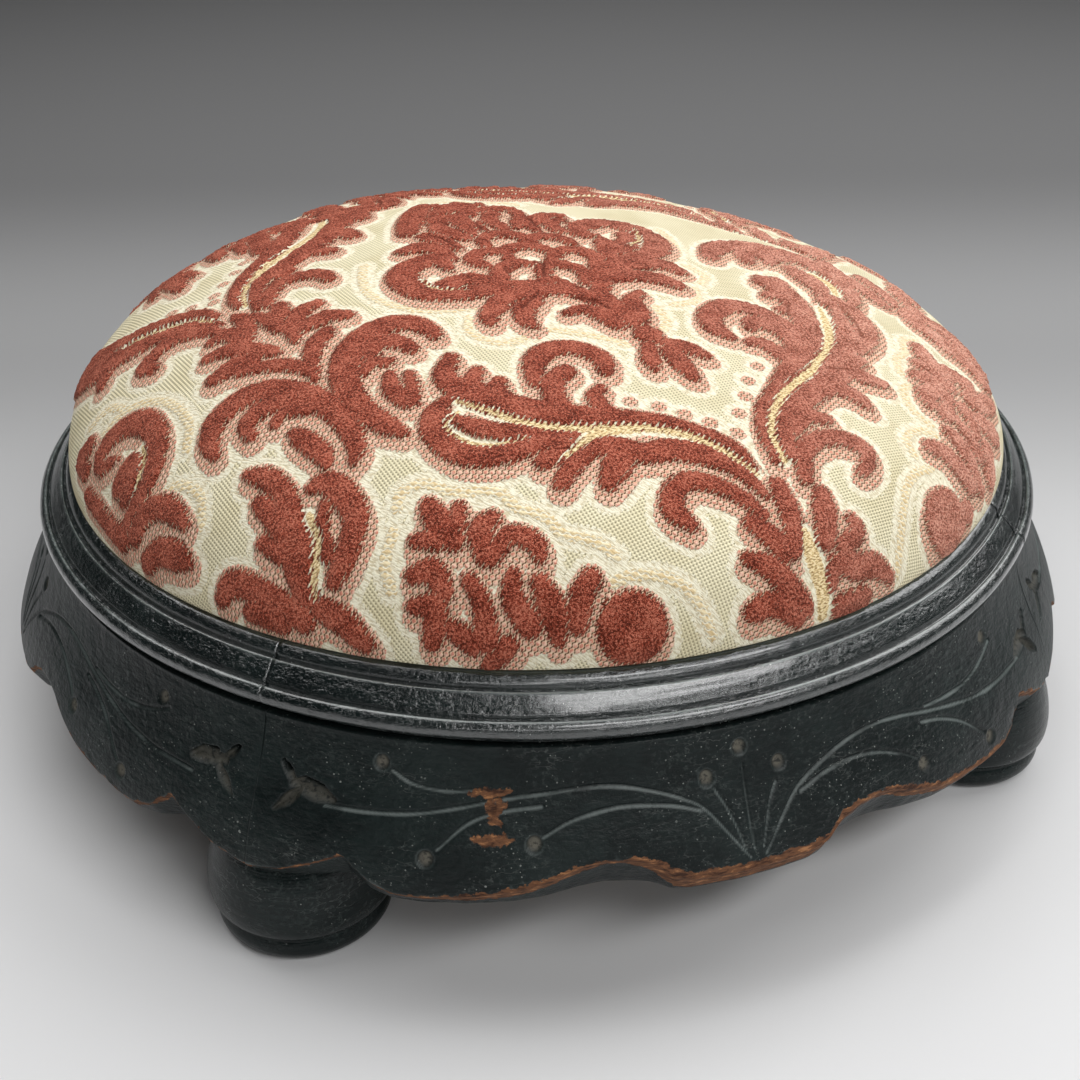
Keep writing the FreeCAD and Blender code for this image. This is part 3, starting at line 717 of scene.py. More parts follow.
def cut_depths(place, middle, along, height):
    """Depth in mm of the V-cuts, dots, gouges and holes, the dusty floors, and a painted highlight
    on
    the lower lips and round the dots: a lip is where the same line, moved down by about half a
    millimetre, would be."""
    seed, lift = (0 if place == "front" else middle + 40), (LEFT_LIFT if place == "left" else 0.0)
    shake = ripples(middle + 60, 30, along / 3, height / 3, size=0.08)

    def gap(text, lift=0.0, drop=0.0):
        return distance_to(on_board(text, seed, lift), along, height + drop, 6.0)

    line, below = gap(STEMS) + shake, gap(STEMS, drop=LIP_DROP) + shake
    dot, hole = gap(PUNCHES) + shake, gap(HOLES, lift) + shake
    gouge = gap(GOUGES, lift) + 2 * shake
    depth = np.max([V_DEPTH * np.clip(1 - line / V_HALF, 0, 1),
                    PUNCH_DEPTH * np.clip((PUNCH_HALF - dot) / 0.9, 0, 1) ** 0.7,
                    GOUGE_DEPTH * np.clip(-gouge, 0, 1) ** 0.7,
                    HOLE_DEPTH * np.clip(0.3 - hole / 0.9, 0, 1) ** 0.8], axis=0)
    dusty = np.maximum(np.clip(2.0 - dot, 0, 1), 0.5 * np.clip(-gouge * 1.6, 0, 1))
    # painted highlight: the lit lower wall of each V-cut, and a ring round each dot
    highlight_and_rub = np.clip(1.1 - below / 0.33, 0, 1) * np.clip(line / 0.25, 0, 1)
    highlight_and_rub = np.maximum(highlight_and_rub * (0.6 if place == "left" else 1.0),
                      0.35 * np.clip(1 - np.abs(dot - 2.25) / 0.35, 0, 1))
    return depth, dusty * np.clip(hole + 0.2, 0, 1), highlight_and_rub


def make_frame(place, middle):
    """Rows: outside from the lower arris to the top, then top, inner wall, underside and slope."""
    turns = quarter_turns(middle, FRAME_COLUMNS, JOINT)
    local = np.degrees(turns) - middle
    arris = edge_height(local) + ripples(middle + 21, 8, local, scale=0.9, size=0.10)
    height = arris + (FACE_TOP - arris) * np.linspace(0, 1, FACE_ROWS)[:, None]
    over = height - arris
    along = np.broadcast_to(local * DEGREE, height.shape)
    depth, dusty, highlight_and_rub = cut_depths(place, middle, along, height)
    free = 1 - np.clip(height - UNDER_RIM, 0, 1)
    round_over = np.clip(1 - over / ROUNDING, 0, 1) ** 2 * ROUND_DEPTH
    chips = np.clip(ripples(middle + 22, 12, along / 4, height / 4, scale=1.2) - 1.25, 0, 0.5)
    chips = chips * np.exp(-(over / 2.5) ** 2) * 0.9
    drift = ripples(middle + 23, 8, along / 40, height / 18, size=0.16)
    radius = outer_radius(height) + (drift - depth) * free - round_over - chips
    if place == "front":
        width = np.interp(local, WORN_TURNS, WORN_WIDTHS)
        patches = distance_to(on_board(RUBBED_PATCHES), along, height, 6.0)
    else:
        width, patches = 0.8 + 0.9 * ripples(middle + 24, 6, local / 9), np.inf
    bare = np.minimum(over - np.clip(0.5 * width, 0, 2.4), patches)
    # a thin band rubbed light above the lower arris joins the painted highlights of the cuts
    rubbed = np.exp(-((over - 0.5) / 0.5) ** 2) * np.clip(ripples(middle + 26, 12, local), 0, 1)
    highlight_and_rub = np.maximum(highlight_and_rub, 0.8 * rubbed)

    full = arris - FRAME_FOOT
    under = np.minimum(radius[0] - 0.3 - SAWN_SLOPE * full, FOOT_RADIUS - 0.4)
    flat = np.linspace(0.15, 1, UNDER_ROWS)[:, None]
    rise = np.linspace(0.12, 0.97, SAWN_ROWS)[:, None]
    saw = ripples(middle + 25, 10, np.broadcast_to(local * 2.2, (SAWN_ROWS, FRAME_COLUMNS)),
                  rise * 2, size=0.12)
    inner_r = np.vstack([INNER_WALL[:, :1] + 0 * arris,
                         INNER_RADIUS + (under - INNER_RADIUS) * flat,
                         under + (radius[0] - 0.25 - under) * rise + saw])
    inner_z = np.vstack([INNER_WALL[:, 1:] + 0 * arris, FRAME_FOOT + 0 * arris * flat,
                         FRAME_FOOT + (full - 0.25) * rise])
    unworn = np.full((len(INNER_WALL) + UNDER_ROWS, FRAME_COLUMNS), 3.0)
    values = {"bare": np.vstack([bare, unworn, full * (1 - rise) * 1.12 - width]),
              "dusty": np.vstack([dusty, 0 * inner_r]), "highlight_and_rub": np.vstack([highlight_and_rub, 0 * inner_r])}
    piece = closed_sweep("carved_frame_" + place, np.vstack([radius, inner_r]),
                         np.vstack([height, inner_z]), turns[None, :], values, (163, 50))
    return dress(piece, frame_wood, "ebonised_wood", "frame_" + place)


for place, middle in QUARTERS.items():
    make_frame(place, middle)

# %% [markdown]
# ## The bun feet
# A bun foot is turned on a lathe: a flat base, a swelling band, one sunk groove and a rounded
# shoulder under the frame. Turning marks show as very fine rings, and the widest part of the band
# is rubbed by brooms and shoes. The lip above the groove carries a painted highlight, stronger in
# three places round the foot. A lathe shape is a profile spun about its own axis, so the points
# are the profile's radius along the foot's own turn, moved out to the foot's place on the
# diagonal.

# %% Feet
FEET = {"rear_right": 45, "rear_left": 135, "front_left": 225, "front_right": 315}
FOOT_PROFILE = [
    (0, 0.0), (18.0, 0.0), (21.2, 0.1), (22.4, 0.5), (23.6, 1.6), (24.4, 3.2), (24.6, 5.0),
    (24.35, 6.2), (23.9, 7.2), (23.5, 7.9), (23.9, 8.5), (24.6, 9.0), (25.3, 9.8), (25.8, 10.6),
    (26.2, 12.2), (26.35, 14.5), (26.2, 17.5), (25.6, 21.0), (24.6, 25.0), (23.4, 28.5),
    (22.3, 31.0), (21.8, 32.0), (0, 32.0)]
FOOT_AXIS, FOOT_COLUMNS, FOOT_TOP = 150.0, 168, 32.0
FLAT_RADIUS, RING_DEPTH, GROOVE_LIP = 18.0, 0.035, 8.9


def make_foot(place, turn):
    """Profile radius around the foot's own axis, with faint rings and a dent or two."""
    corners = np.array(FOOT_PROFILE, float)
    along = np.concatenate([[0], np.cumsum(np.hypot(*np.diff(corners, axis=0).T))])
    runs = (0, along[1], 5), (along[1], along[-2], 110), (along[-2], along[-1], 6)
    places = np.unique(np.concatenate([np.linspace(*run) for run in runs]))
    profile = np.stack([np.interp(places, along, corners[:, k]) for k in (0, 1)], -1)
    body = slice(6, -6)
    window = np.array([1, 3, 5, 3, 1]) / 13.0
    for axis in (0, 1):
        padded = np.pad(profile[body, axis], 2, mode="edge")
        profile[body, axis] = np.convolve(padded, window, "valid")
    reach, lift = profile[1:-1, :1], profile[1:-1, 1:]
    around = ring_turns(FOOT_COLUMNS)
    side = np.clip((reach - FLAT_RADIUS) / 4, 0, 1)
    rings = RING_DEPTH * np.sin(lift * 7.5 + ripples(turn, 3, lift / 5))
    dents = ripples(turn + 2, 14, np.cos(around) * 4, np.sin(around) * 4, lift / 4)
    radius = reach + side * (rings - DENT_DEPTH * np.clip(dents - DENT_FROM, 0, 1))
    centre = np.array([FOOT_AXIS * math.cos(math.radians(turn)),
                       FOOT_AXIS * math.sin(math.radians(turn)), 0])
    # painted highlight on the lip above the groove, stronger in three places round the foot
    worn = 0.5 + 0.5 * np.cos(around * 3 + turn)
    lip_highlight = np.exp(-((lift - GROOVE_LIP) / 0.35) ** 2) * side * worn
    arc, above = np.broadcast_arrays((around - 3.4) * 26, lift)
    flecks = distance_to(chains("0,5 0,8.6,.3"), arc, above, 3.0) + 0.4
    values = {"bare": np.append(np.where(lift > 0.5, flecks, 3.0), [3, 3]),
              "dusty": np.zeros(flecks.size + 2), "highlight_and_rub": np.append(lip_highlight, [0, 0])}
    piece = ring_solid("turned_foot_" + place, spun(radius, around, lift) + centre,
                       centre + [0, 0, FOOT_TOP], centre, values)
    return dress(piece, foot_wood, "ebonised_wood", "foot_" + place)


for place, turn in FEET.items():
    make_foot(place, turn)

# %% [markdown]
# ## The form of the pad
# The pad is a tall dome of horsehair on a round board. Its top is a circle's rise over the radius,
# squared off a little at the shoulder. Years of feet have pressed it down more on one side, so the
# crown leans. The cover is drawn in cloth coordinates: u and v in millimetres, measured along the
# curved surface from the crown, which is how a flat cloth would lie if it were pulled down evenly.

# %% Pad surface
PAD_RADIUS, PAD_EDGE, PAD_RISE = 149.1, 89.8, 55.4
PAD_LEAN, PAD_SAG, LEAN_TURN = -14.3, -8.4, math.radians(18.765)
PAD_CROWN, PAD_SHOULDER = 2.21, 2.15  # powers: how flat the crown is and how square the shoulder
share_of_radius = 1 - (1 - np.linspace(0, 1, 6001)) ** 2
rise_there = PAD_RISE * np.clip(1 - share_of_radius ** PAD_CROWN, 0, 1) ** (1 / PAD_SHOULDER)
steps_there = np.hypot(np.diff(share_of_radius * PAD_RADIUS), np.diff(rise_there))
arc_there = np.concatenate([[0], np.cumsum(steps_there)])
PAD_ARC = arc_there[-1]


def pad_surface(arc, turn):
    """Point on the dome for a cloth distance from the crown and a turn angle: the radius and the
    rise follow the profile, and a tilt plus a square term, fading out at the rim, lean it."""
    share = np.interp(arc, arc_there, share_of_radius)
    x, y = share * PAD_RADIUS * np.cos(turn), share * PAD_RADIUS * np.sin(turn)
    across = (x * math.cos(LEAN_TURN) - y * math.sin(LEAN_TURN)) / PAD_RADIUS
    lean = (PAD_LEAN * across + PAD_SAG * across ** 2) * (1 - share ** 2)
    return np.stack([x, y, PAD_EDGE + np.interp(arc, arc_there, rise_there) + lean], -1)


def outward_of(points):
    """Unit normals of a ring grid: the cross product of its row and column differences."""
    along = np.gradient(points, axis=0)
    around = (np.roll(points, -1, 1) - np.roll(points, 1, 1)) / 2
    normal = np.cross(around, along)
    return normal / np.maximum(np.linalg.norm(normal, axis=-1, keepdims=True), 1e-12)


print("cloth from crown to rim:", round(PAD_ARC, 1), "mm")

# %% [markdown]
# ## Blowing up the cover
# A real cover is pulled over springy stuffing, so its surface is a balance of tension and push.
# Cloth simulation gives that balance: a coarse copy of the pad starts a little small, is held
# along its lower rows, and pressure swells it for twenty steps. The result is read back as one
# offset for each coarse point, measured from the mean and capped, so the pad keeps its size. A
# smooth curve through these values spreads them over the dense cover, and no simulation stays on
# the finished piece.

# %% Cloth simulation on a coarse copy
COARSE_ROWS, COARSE_COLUMNS, COARSE_START = 36, 112, 5.0
START_INSET, SINK_CAP, MOVE_CAP, MOMENTS = 2.4, 0.8, 1.2, 20
CLOTH = {"vertex_group_mass": "held", "quality": 6, "mass": 0.35, "tension_stiffness": 22,
         "compression_stiffness": 22, "bending_stiffness": 1.5, "use_pressure": True,
         "uniform_pressure_force": 9.0}


def swollen():
    """Offsets in mm along the normals of a coarse pad that starts inset, is held along its two
    lowest rows and is blown up: each point's way times its normal, less the mean, capped."""
    rows, columns = COARSE_ROWS, COARSE_COLUMNS
    arcs = np.linspace(COARSE_START, PAD_ARC, rows)[::-1, None]
    points = pad_surface(arcs, ring_turns(columns))
    normals = outward_of(points)
    points = points - START_INSET * normals
    pad = ring_solid("pad_trial", points, points[-1].mean(0), points[0].mean(0) - [0, 0, 2])
    held = pad.vertex_groups.new(name="held")
    held.add([*range(2 * columns), rows * columns + 1], 1.0, "REPLACE")
    cloth = pad.modifiers.new("cloth", "CLOTH")
    for name, value in CLOTH.items():
        setattr(cloth.settings, name, value)
    cloth.settings.effector_weights.gravity = 0
    cloth.collision_settings.use_collision = False
    for moment in range(1, MOMENTS + 1):
        bpy.context.scene.frame_set(moment)
    final = pad.evaluated_get(bpy.context.evaluated_depsgraph_get()).data.vertices
    moved = np.empty(len(final) * 3, np.float32)
    final.foreach_get("co", moved)
    bpy.context.scene.frame_set(1)
    moved = moved.reshape(-1, 3)[:rows * columns].reshape(rows, columns, 3) / MM
    offset = ((moved - points) * normals).sum(-1)
    bpy.data.objects.remove(pad)
    print("cloth moved out by %.2f mm on average, at most %.2f" % (offset.mean(), offset.max()))
    return np.clip(offset - offset.mean(), -SINK_CAP, MOVE_CAP)


swell = swollen()
print("swell kept between %.2f and %.2f mm" % (swell.min(), swell.max()))

# %% [markdown]
# ## The woven figure
# The cover is a cut velvet of a traditional damask kind: acanthus sprays, a pomegranate and small
# rosettes in red-brown pile on a cream woven ground. The figure is drawn as strokes in cloth
# coordinates, each point with a half width in millimetres. Pile strokes become standing pile, cuts
# are openings in it, seams are folds between tufts, sunk and darkened with painted shade, ribs are
# cream stitched veins, and cords are the gold outlines that run beside the figure.

# %% Strokes of the damask
POMEGRANATE = """
-35,22,3.5 -31,33,4.5 -26,44,4.5 -22,52,3
-24,26,4 -20,36,4.5 -16,44,3.5 -15,48,2.2
-12,34,4 -10,41,4 -8,45,2.5
-6,37,3.5 -1,37,4 3,36,3 5,33,2
-31,16,3 -27,11,3.5 -24,3,2.2
-26,24,3 -22,16,4 -19,10,2
-17,32,3.2 -16,26,4 -16,20,3.2 -16,13,1.5
-12,22,2.2 -11,15,1.2
-4,31,3 -7,24,3 -5,17,2.5 -4,13,1
4,30,3 3,22,3.5 -1,16,1.5
8,24,3 5,17,2.8 5,11,1.3
18,27,2.5 12,26,3.6 8,22,3
18,22,1.6 12,19,2.8 12,13,2.6 15,10,1.3
-15,3,2 -14,8,2.6 -9,11,2.8 -3,9,2.6 -1,4,2
0,1,2 2,6,2.6 7,7,2.6 11,4,2.6 13,0,1.8
-13,-2,2 -19,-3,2.8 -22,-8,3 -19,-13,2
-11,-12,2 -11,-4,2.8 -6,0,2.8 0,-1,2.8 4,-6,2.4
2,-12,2.4 6,-6,2.8 13,-6,3 16,-12,3 13,-20,2.2
-18,-25,2.6 -17,-18,3 -12,-13,3 -6,-13,2.4
-5,-22,2.6 -1,-16,3 5,-17,3 8,-23,2.6 6,-30,1.6
-15,-27,2.6 -8,-28,2.8 -3,-26,2 0,-31,2.4
-31,-2,2.5 -37,-4,4 -44,-9,4.8 -46,-16,5 -42,-24,5.2 -34,-28,4.2 -26,-29,3.8 -19,-30,2.4
-32,-6,3.6 -31,-12,1.8
-36,-23,3.6 -28,-20,3.8 -22,-24,3.4 -18,-29,2
-41,6,2.4 -35,7,4 -30,3,3.4 -28,-5,2
18,8,2.6 20,14,4 26,19,4 33,20,4.2 40,15,4.8 43,7,4.5 41,-2,4.5 35,-9,4 28,-13,4 22,-16,3
34,8,3.4 31,0,4 26,-6,4
24,1,3.4 22,-6,3.2 21,-12,2.8
18,7,2 24,7,1.2
10,-26,2.6 17,-20,4.2 27,-18,3.8 36,-17,3.8 40,-22,2.6
14,-27,3.4 23,-26,3.8 30,-28,4 35,-33,2.6
8,-36,2.8 12,-29,3.2 16,-25,3
-2,-33,3.6 -14,-32,3.8 -22,-36,3.8 -28,-43,3 -29,-47,2
-12,-37,2.6 -17,-42,3.4 -19,-48,2.8 -18,-52,1.8
0,-34,3.6 6,-41,3.8 9,-49,3.4 11,-56,2
-6,-47,1.6 0,-46,2.6 4,-51,3.4 6,-56,2.6
20,-38,1.8 16,-42,2.8 15,-49,3.6 14,-54,2.6
8,-38,3 10,-46,3
13,-62,4.4
11,-68,2.2 9,-74,2.8 8,-79,1.4
16,-71,3 17,-78,3.4 18,-84,1.8
17,-67,2.2 22,-70,3.2 26,-74,1.6
"""
RIGHT_SPRAY = """
28,-119,1.6 29,-109,2.4 33,-100,3 40,-92,3 47,-84,3.4 55,-76,4 62,-68,4 67,-58,4.4 70,-48,4.8
 71,-38,5 70,-29,5 68,-24,3
33,-117,2.4 35,-108,3 42,-100,4 50,-93,4 58,-88,4.4 66,-80,4.8 73,-71,4 78,-63,3.6 82,-54,3.2
 84,-46,2.4
72,-70,2.6 80,-66,4 87,-59,4.2 91,-50,4 91,-41,3.6 88,-35,2.6
94,-38,2 98,-30,3 99,-18,4 97,-8,4.6 91,0,5.4 82,5,5.2 72,5,5 64,2,4.4 59,-4,3.4 57,-8,2.6
78,2,4.6 72,-3,3.8 70,-9,2.6
90,-2,4.4 81,-4,3.6 78,-9,1.8
96,-10,4 95,-3,4
84,-13,3 86,-20,4.6 87,-27,3.8 85,-32,2.4
84,-37,3.2 86,-43,2.6
66,-26,2.6 72,-26,4
64,-36,2.2 70,-35,4
64,-46,2.2 69,-45,4
38,-64,2 35,-59,3.6 37,-52,3.8 44,-46,4 51,-46,4 57,-51,4 60,-59,4 61,-66,3
47,-59,1.8 50,-55,3.4 56,-59,3.6 58,-66,3.6 54,-74,2.6
43,-67,1.8 47,-67,2.8 50,-72,3 51,-79,2.6
70,-77,4.4 76,-74,3.2
73,-83,4 78,-86,2.4
60,-89,4 65,-93,3.4 67,-98,1.6
34,-126,2.2 37,-117,2.8 44,-112,3 52,-112,3.2 57,-116,2.8 56,-121,2.4 53,-124,1.8
38,-108,2.6 44,-103,3 50,-104,2.2
"""
LEFT_SPRAY = """
20,-121,1.4 17,-113,2.4 10,-107,2.8 2,-102,3 -8,-99,3.8 -18,-96,4 -28,-92,4.4 -36,-87,4.6
 -43,-81,4.4 -48,-74,3.6 -49,-68,3.2 -45,-61,2.2
-42,-80,3 -43,-74,2.8 -40,-69,1.8
-37,-86,4 -38,-79,3 -36,-76,2.2
-6,-78,2.2 -5,-72,3.2 -10,-66,3.4 -17,-65,3.6 -23,-69,3.4 -26,-76,2.4 -27,-80,1.4
-17,-76,3 -22,-80,3.2 -24,-88,3.2 -22,-94,3
-10,-85,1.5 -13,-89,2.4 -12,-95,2.6 -8,-99,2
20,-130,1.4 15,-121,2.8 8,-115,3.8 0,-112,4 -8,-112,3.6 -15,-108,3.6 -22,-108,3 -28,-112,2.8
 -33,-117,2
-12,-110,4 -17,-115,3.8 -21,-120,2.2
-27,-105,2.6 -35,-109,2.4
-24,-102,1.6 -36,-103,3 -46,-103,3.4 -54,-99,3.8 -58,-91,3.8 -57,-84,3.6 -52,-79,2.2
-52,-86,1.6 -48,-91,2.8 -42,-95,3.2 -34,-99,2.8 -26,-101,1.6
-4,-136,2.2 -7,-131,3.2 -4,-125,3 2,-123,3 8,-126,2.8 13,-130,2.4 17,-136,1.8
-66,-86,1.6 -70,-80,3.4 -74,-71,3.8 -75,-60,4.2 -72,-50,4.8 -66,-43,4.8 -58,-39,4.4 -51,-40,3.8
 -47,-45,3 -46,-49,2
-66,-52,2.2 -62,-47,3.2 -57,-48,3.2 -54,-53,2.2
-69,-58,1.8 -66,-55,2.4 -62,-56,2.2
-63,-62,1.8 -64,-69,2.8 -61,-75,2.8 -59,-70,2 -58,-64,1.6
"""
LEFT_UNIT = """
-115,-64,1.8 -115,-58,3.2 -111,-52,3.8 -103,-49,4 -95,-51,4.2 -88,-57,4.4 -82,-66,4 -79,-76,3.4
 -79,-85,2.6 -81,-89,1.4
-104,-65,1.8 -104,-60,2.8 -98,-57,3.4 -91,-58,3.4
-97,-65,1.4 -93,-62,2.4 -87,-64,3
-93,-71,1.8 -91,-75,3.2 -88,-82,3 -88,-86,1.6
-108,-77,1.8 -104,-81,3.2 -101,-88,3.2 -101,-96,3
-108,-87,2.4 -105,-95,4 -103,-103,4.6 -105,-110,4.4 -106,-117,3.6
-111,-98,2.2 -108,-104,2.4
-94,-91,1.6 -89,-92,3.6 -86,-99,3.8 -86,-106,3.6 -91,-113,3.2 -97,-118,2.6
-92,-98,1.8 -95,-104,2 -96,-111,2.4
-104,-122,3 -100,-128,3.6 -97,-136,3
-130,-102,2.6 -125,-101,3.6 -119,-107,3.6 -114,-115,3.6 -110,-122,3.6
-123,-111,3.4 -117,-119,3
-96,-5,1.8 -94,-11,3 -95,-18,3.2 -96,-24,2.2
-91,-10,2 -87,-17,3.2 -86,-24,2.2
-83,-10,2.6 -84,-16,3.6
-73,-16,2.2 -78,-18,3.2 -82,-25,3.2 -83,-33,1.6
-66,-28,1.8 -72,-26,3.6 -79,-27,3.4
-74,-34,2.6 -78,-38,3.2 -81,-45,2.4 -82,-51,1.8
-105,-14,2.2 -100,-14,3.2 -97,-20,3.6
-108,-22,2 -102,-23,3.2 -97,-27,3.2 -91,-33,2.6 -89,-36,1.4
-108,-34,2.8 -101,-33,4.2 -96,-34,2.8
-101,-37,1.8 -93,-40,2.6 -87,-44,2.6 -83,-49,2.2 -82,-54,1.2
-101,1,1.4 -105,8,2.4 -113,14,2.8 -122,19,3 -130,23,3.4 -138,29,4 -143,38,4
-102,-5,2.2 -107,1,3.2 -115,6,3.8 -123,9,4.2 -131,12,4.8 -139,17,6 -146,26,6.5 -150,38,6.5
-124,-9,2.6 -126,-5,3.2 -121,-1,3.2 -114,0,3.6 -107,-4,3.2 -102,-10,1.8
-141,6,2.4 -138,12,4
-94,1,1.4 -94,8,2.4 -91,17,2.8 -86,25,3.4 -79,34,3.8 -74,42,4 -70,50,4.2 -66,58,4 -63,68,4 -61,78,4
-89,-5,1.8 -88,4,2.4 -85,12,3.2 -79,18,3.8 -73,23,4 -66,30,5 -59,37,5 -54,46,5 -49,56,5 -47,66,4.4
 -46,76,4
-64,25,3.4 -60,22,2.8
-52,37,4 -51,32,3
-44,52,4 -42,62,3.6 -42,72,3
-86,-6,1.8 -84,1,2.8 -79,7,3.2 -72,7,3.6 -67,3,3.2 -66,-1,2.4
-75,15,2.2 -79,13,2.4
-79,44,3.6 -78,54,4 -77,64,4 -76,76,4
-84,52,2.2 -84,64,2.6
-92,58,3 -92,68,3.8 -91,80,4
-108,39,2 -108,48,4 -110,60,4.6 -111,74,4
-102,48,2.2 -105,58,3.4
-117,48,1.8 -115,60,2.8
-150,-31,2.6 -150,-27,3.2 -145,-25,3.6 -138,-26,4.2 -132,-31,4.4 -129,-39,4 -130,-47,3.8
 -134,-53,3.4 -141,-57,3 -149,-58,2.6
-147,-33,2.2 -144,-35,1.4
-145,-45,4.6 -139,-43,3.4 -138,-48,3 -145,-51,3.6
-152,-16,3.6 -158,-14,3 -157,-22,3
-148,-64,3.2 -140,-63,3.6 -134,-67,3.6 -131,-73,3 -130,-77,1.8
-148,-74,3.6 -142,-76,4 -137,-82,4 -135,-86,2.2
-160,-30,2.6 -158,-40,2.8 -156,-50,2.8 -153,-60,3.6
"""
ROSETTES = """
-67,-111,2.2 -66,-117,3.8 -64,-123,2.8
-73,-119,2 -68,-121,3
-77,-127,2.2 -72,-128,3.2 -71,-134,2.6
-80,-134,2 -75,-137,3.4 -79,-144,2.6
-60,-115,1.8 -62,-119,2.4
-53,-121,2.2 -57,-123,3.2 -58,-130,2.6
-57,-131,2.2 -50,-127,2.6 -45,-131,2.6 -45,-135,1.6
-64,-134,2 -63,-141,2.6 -65,-149,3.6
-73,-143,2.4 -69,-149,3.2
-53,-137,2 -55,-143,3 -53,-150,3.4
-47,-141,2.4 -46,-149,3.6 -47,-156,1.8
-34,-144,2.6 -38,-148,3.2 -41,-154,2.6
-60,-153,2.6 -67,-156,2.6
-27,-159,9.6
107,-61,3 107,-67,4.4
101,-72,3.4 108,-74,5.4 113,-72,4.4 119,-76,4.6
96,-79,3 102,-80,4.4 107,-81,4
93,-93,3 94,-88,3.6 100,-86,3.8 103,-88,3
97,-97,3.4 101,-92,2.6
117,-85,5 124,-84,5 131,-80,4
108,-91,3 110,-96,3.6 109,-102,3
101,-98,2.4 104,-104,3.2 107,-111,3.2
95,-105,3 98,-110,3.6 101,-117,3.4 104,-123,3
83,-113,3 88,-114,3.6 93,-119,4 98,-124,3.4
116,-95,4.6 122,-97,5.4
114,-107,4 113,-117,4
83,-138,10.5
95,-133,4
"""
LOWER_CALYX = """
25,-127,2.2 25,-133,3.2 25,-140,2.8 23,-147,2.8
37,-131,2.6 36,-137,3.6 34,-145,3
13,-138,2.4 17,-142,3.4 20,-147,3.4
9,-148,2 15,-151,3.4 20,-157,3.6 25,-163,2.6
8,-162,3 15,-161,3.6 22,-166,2.6
44,-139,1.6 45,-143,2.6 40,-147,3
56,-156,2 50,-153,3.6 43,-153,4 37,-152,3.2 34,-158,2
46,-162,3.6 38,-164,3.6
"""
RIGHT_EDGE = """
103,-2,3.6 104,-13,3.6 107,-24,3.6 111,-31,2.6
104,8,4 110,17,6.5 118,25,7 127,32,7
114,-10,3 115,-18,3.6 116,-27,3
121,-34,5 119,-42,5 124,-51,6 131,-59,6 136,-68,5
132,-38,7 138,-48,7 142,-58,5
127,-14,3.4 126,-24,3.6 129,-33,4
134,-4,4 134,-16,3.6
"""
PILE = POMEGRANATE + RIGHT_SPRAY + LEFT_SPRAY + LEFT_UNIT + ROSETTES + LOWER_CALYX + RIGHT_EDGE
# openings cut into the pile: cream slits and holes
CUTS = """
-8,5,2.6
6,1,2.6
-15,-7,2.4
-4,-8,4
9,-13,3.2
-9,-20,2.8
2,-23,3.2
-37,-12,1 -35,-15,2 -31,-16,1.4
28,7,2.8
-30,20,0.6 -28,26,1.2
-20,35,0.6 -15,36,0.8
0,24,0.5 1,30,1.2
-10,20,0.7 -9,16,0.8
14.5,-68,0.8
109,-87,1.6
"""
RIBS = """
-41,-17,0.5 -38,-24,0.6 -30,-27,0.4
40,16,0.4 38,6,0.8 31,-2,0.5
30,-119,1.1 31,-108,1.2 37,-98,1.4 45,-90,1.5 55,-82,1.5 63,-74,1.4 70,-66,1.3 75,-57,1.3 78,-48,1
 80,-41,0.4
20,-123,0.8 14,-114,1.2 6,-107,1.3 -4,-103,1.3 -16,-101,1.4 -28,-98,1.4 -36,-93,1.3 -43,-86,1.1
 -49,-80,0.6
-29,-109,0.7 -18,-103,1.4 -6,-103,1.2
-102,-3,0.6 -107,5,0.8 -115,10,1 -124,15,1.1 -130,17,0.8
-92,0,0.8 -91,9,1 -86,19,1.2 -79,28,1.4 -72,35,1.3 -64,43,1.3 -58,52,1.3 -55,62,1.2 -53,74,1.2
-97,-98,0.9 -97,-106,1.2 -102,-114,1.2 -104,-119,0.8
28,-142,1.2 29,-150,2.4 31,-158,2.2 31,-166,1.6
91,-14,0.8 94,-22,1.3 92,-30,0.8
-134,-41,0.7 -135,-47,0.9 -141,-53,0.5
-50,-84,0.4 -55,-88,0.6 -52,-95,0.7 -46,-99,0.6 -36,-100,0.4
"""
# seams where one tuft of pile lies over the next, sunk and darkened with painted shade
SEAMS = """
24,-21 33,-22 40,-26
20,-31 28,-34 34,-37
-5,-38 2,-40 7,-47
-12,-36 -18,-42
-28,-12 -27,-20
62,-80 70,-80
78,-12 80,-20 84,-30
64,-50 68,-42
87,-41 88,-50 85,-60
-15,-16 -14,-24
-2,-14 -5,-24
-33,20 -27,12 -24,2
-23,28 -18,14
-12,30 -12,16
6,28 6,14
100,-73 104,-79
110,-82 115,-91
98,-100 104,-108
93,-103 95,-111
82,-117 90,-121 95,-128
"""
CORDS = """
-54,2 -57,-8 -57,-20 -52,-29 -43,-35 -32,-37 -24,-35
50,18 50,8 47,-4 42,-12
45,-16 48,-24 44,-30
40,-34 37,-42 28,-45
-34,-42 -36,-50 -31,-57 -24,-58 -16,-54 -8,-57 0,-62 5,-66
22,-46 22,-55 18,-60
-146,-19 -136,-19 -127,-25 -121,-35 -119,-46 -122,-55
-137,-61 -127,-65 -123,-73 -126,-81
-75,-108 -72,-104 -66,-104 -62,-108 -57,-111 -49,-114 -46,-120 -40,-125 -37,-131 -30,-135 -26,-140
-78,-114 -83,-121 -84,-128
-34,-147 -24,-146 -14,-149 -8,-156 -5,-166
60,-155 62,-143 66,-131 72,-124 80,-121
75,-117 75,-110 82,-106 88,-107
88,-103 84,-96 86,-87 92,-84
90,-78 93,-70 99,-65 103,-57 109,-56
-150,-8 -141,-10 -137,-16
"""
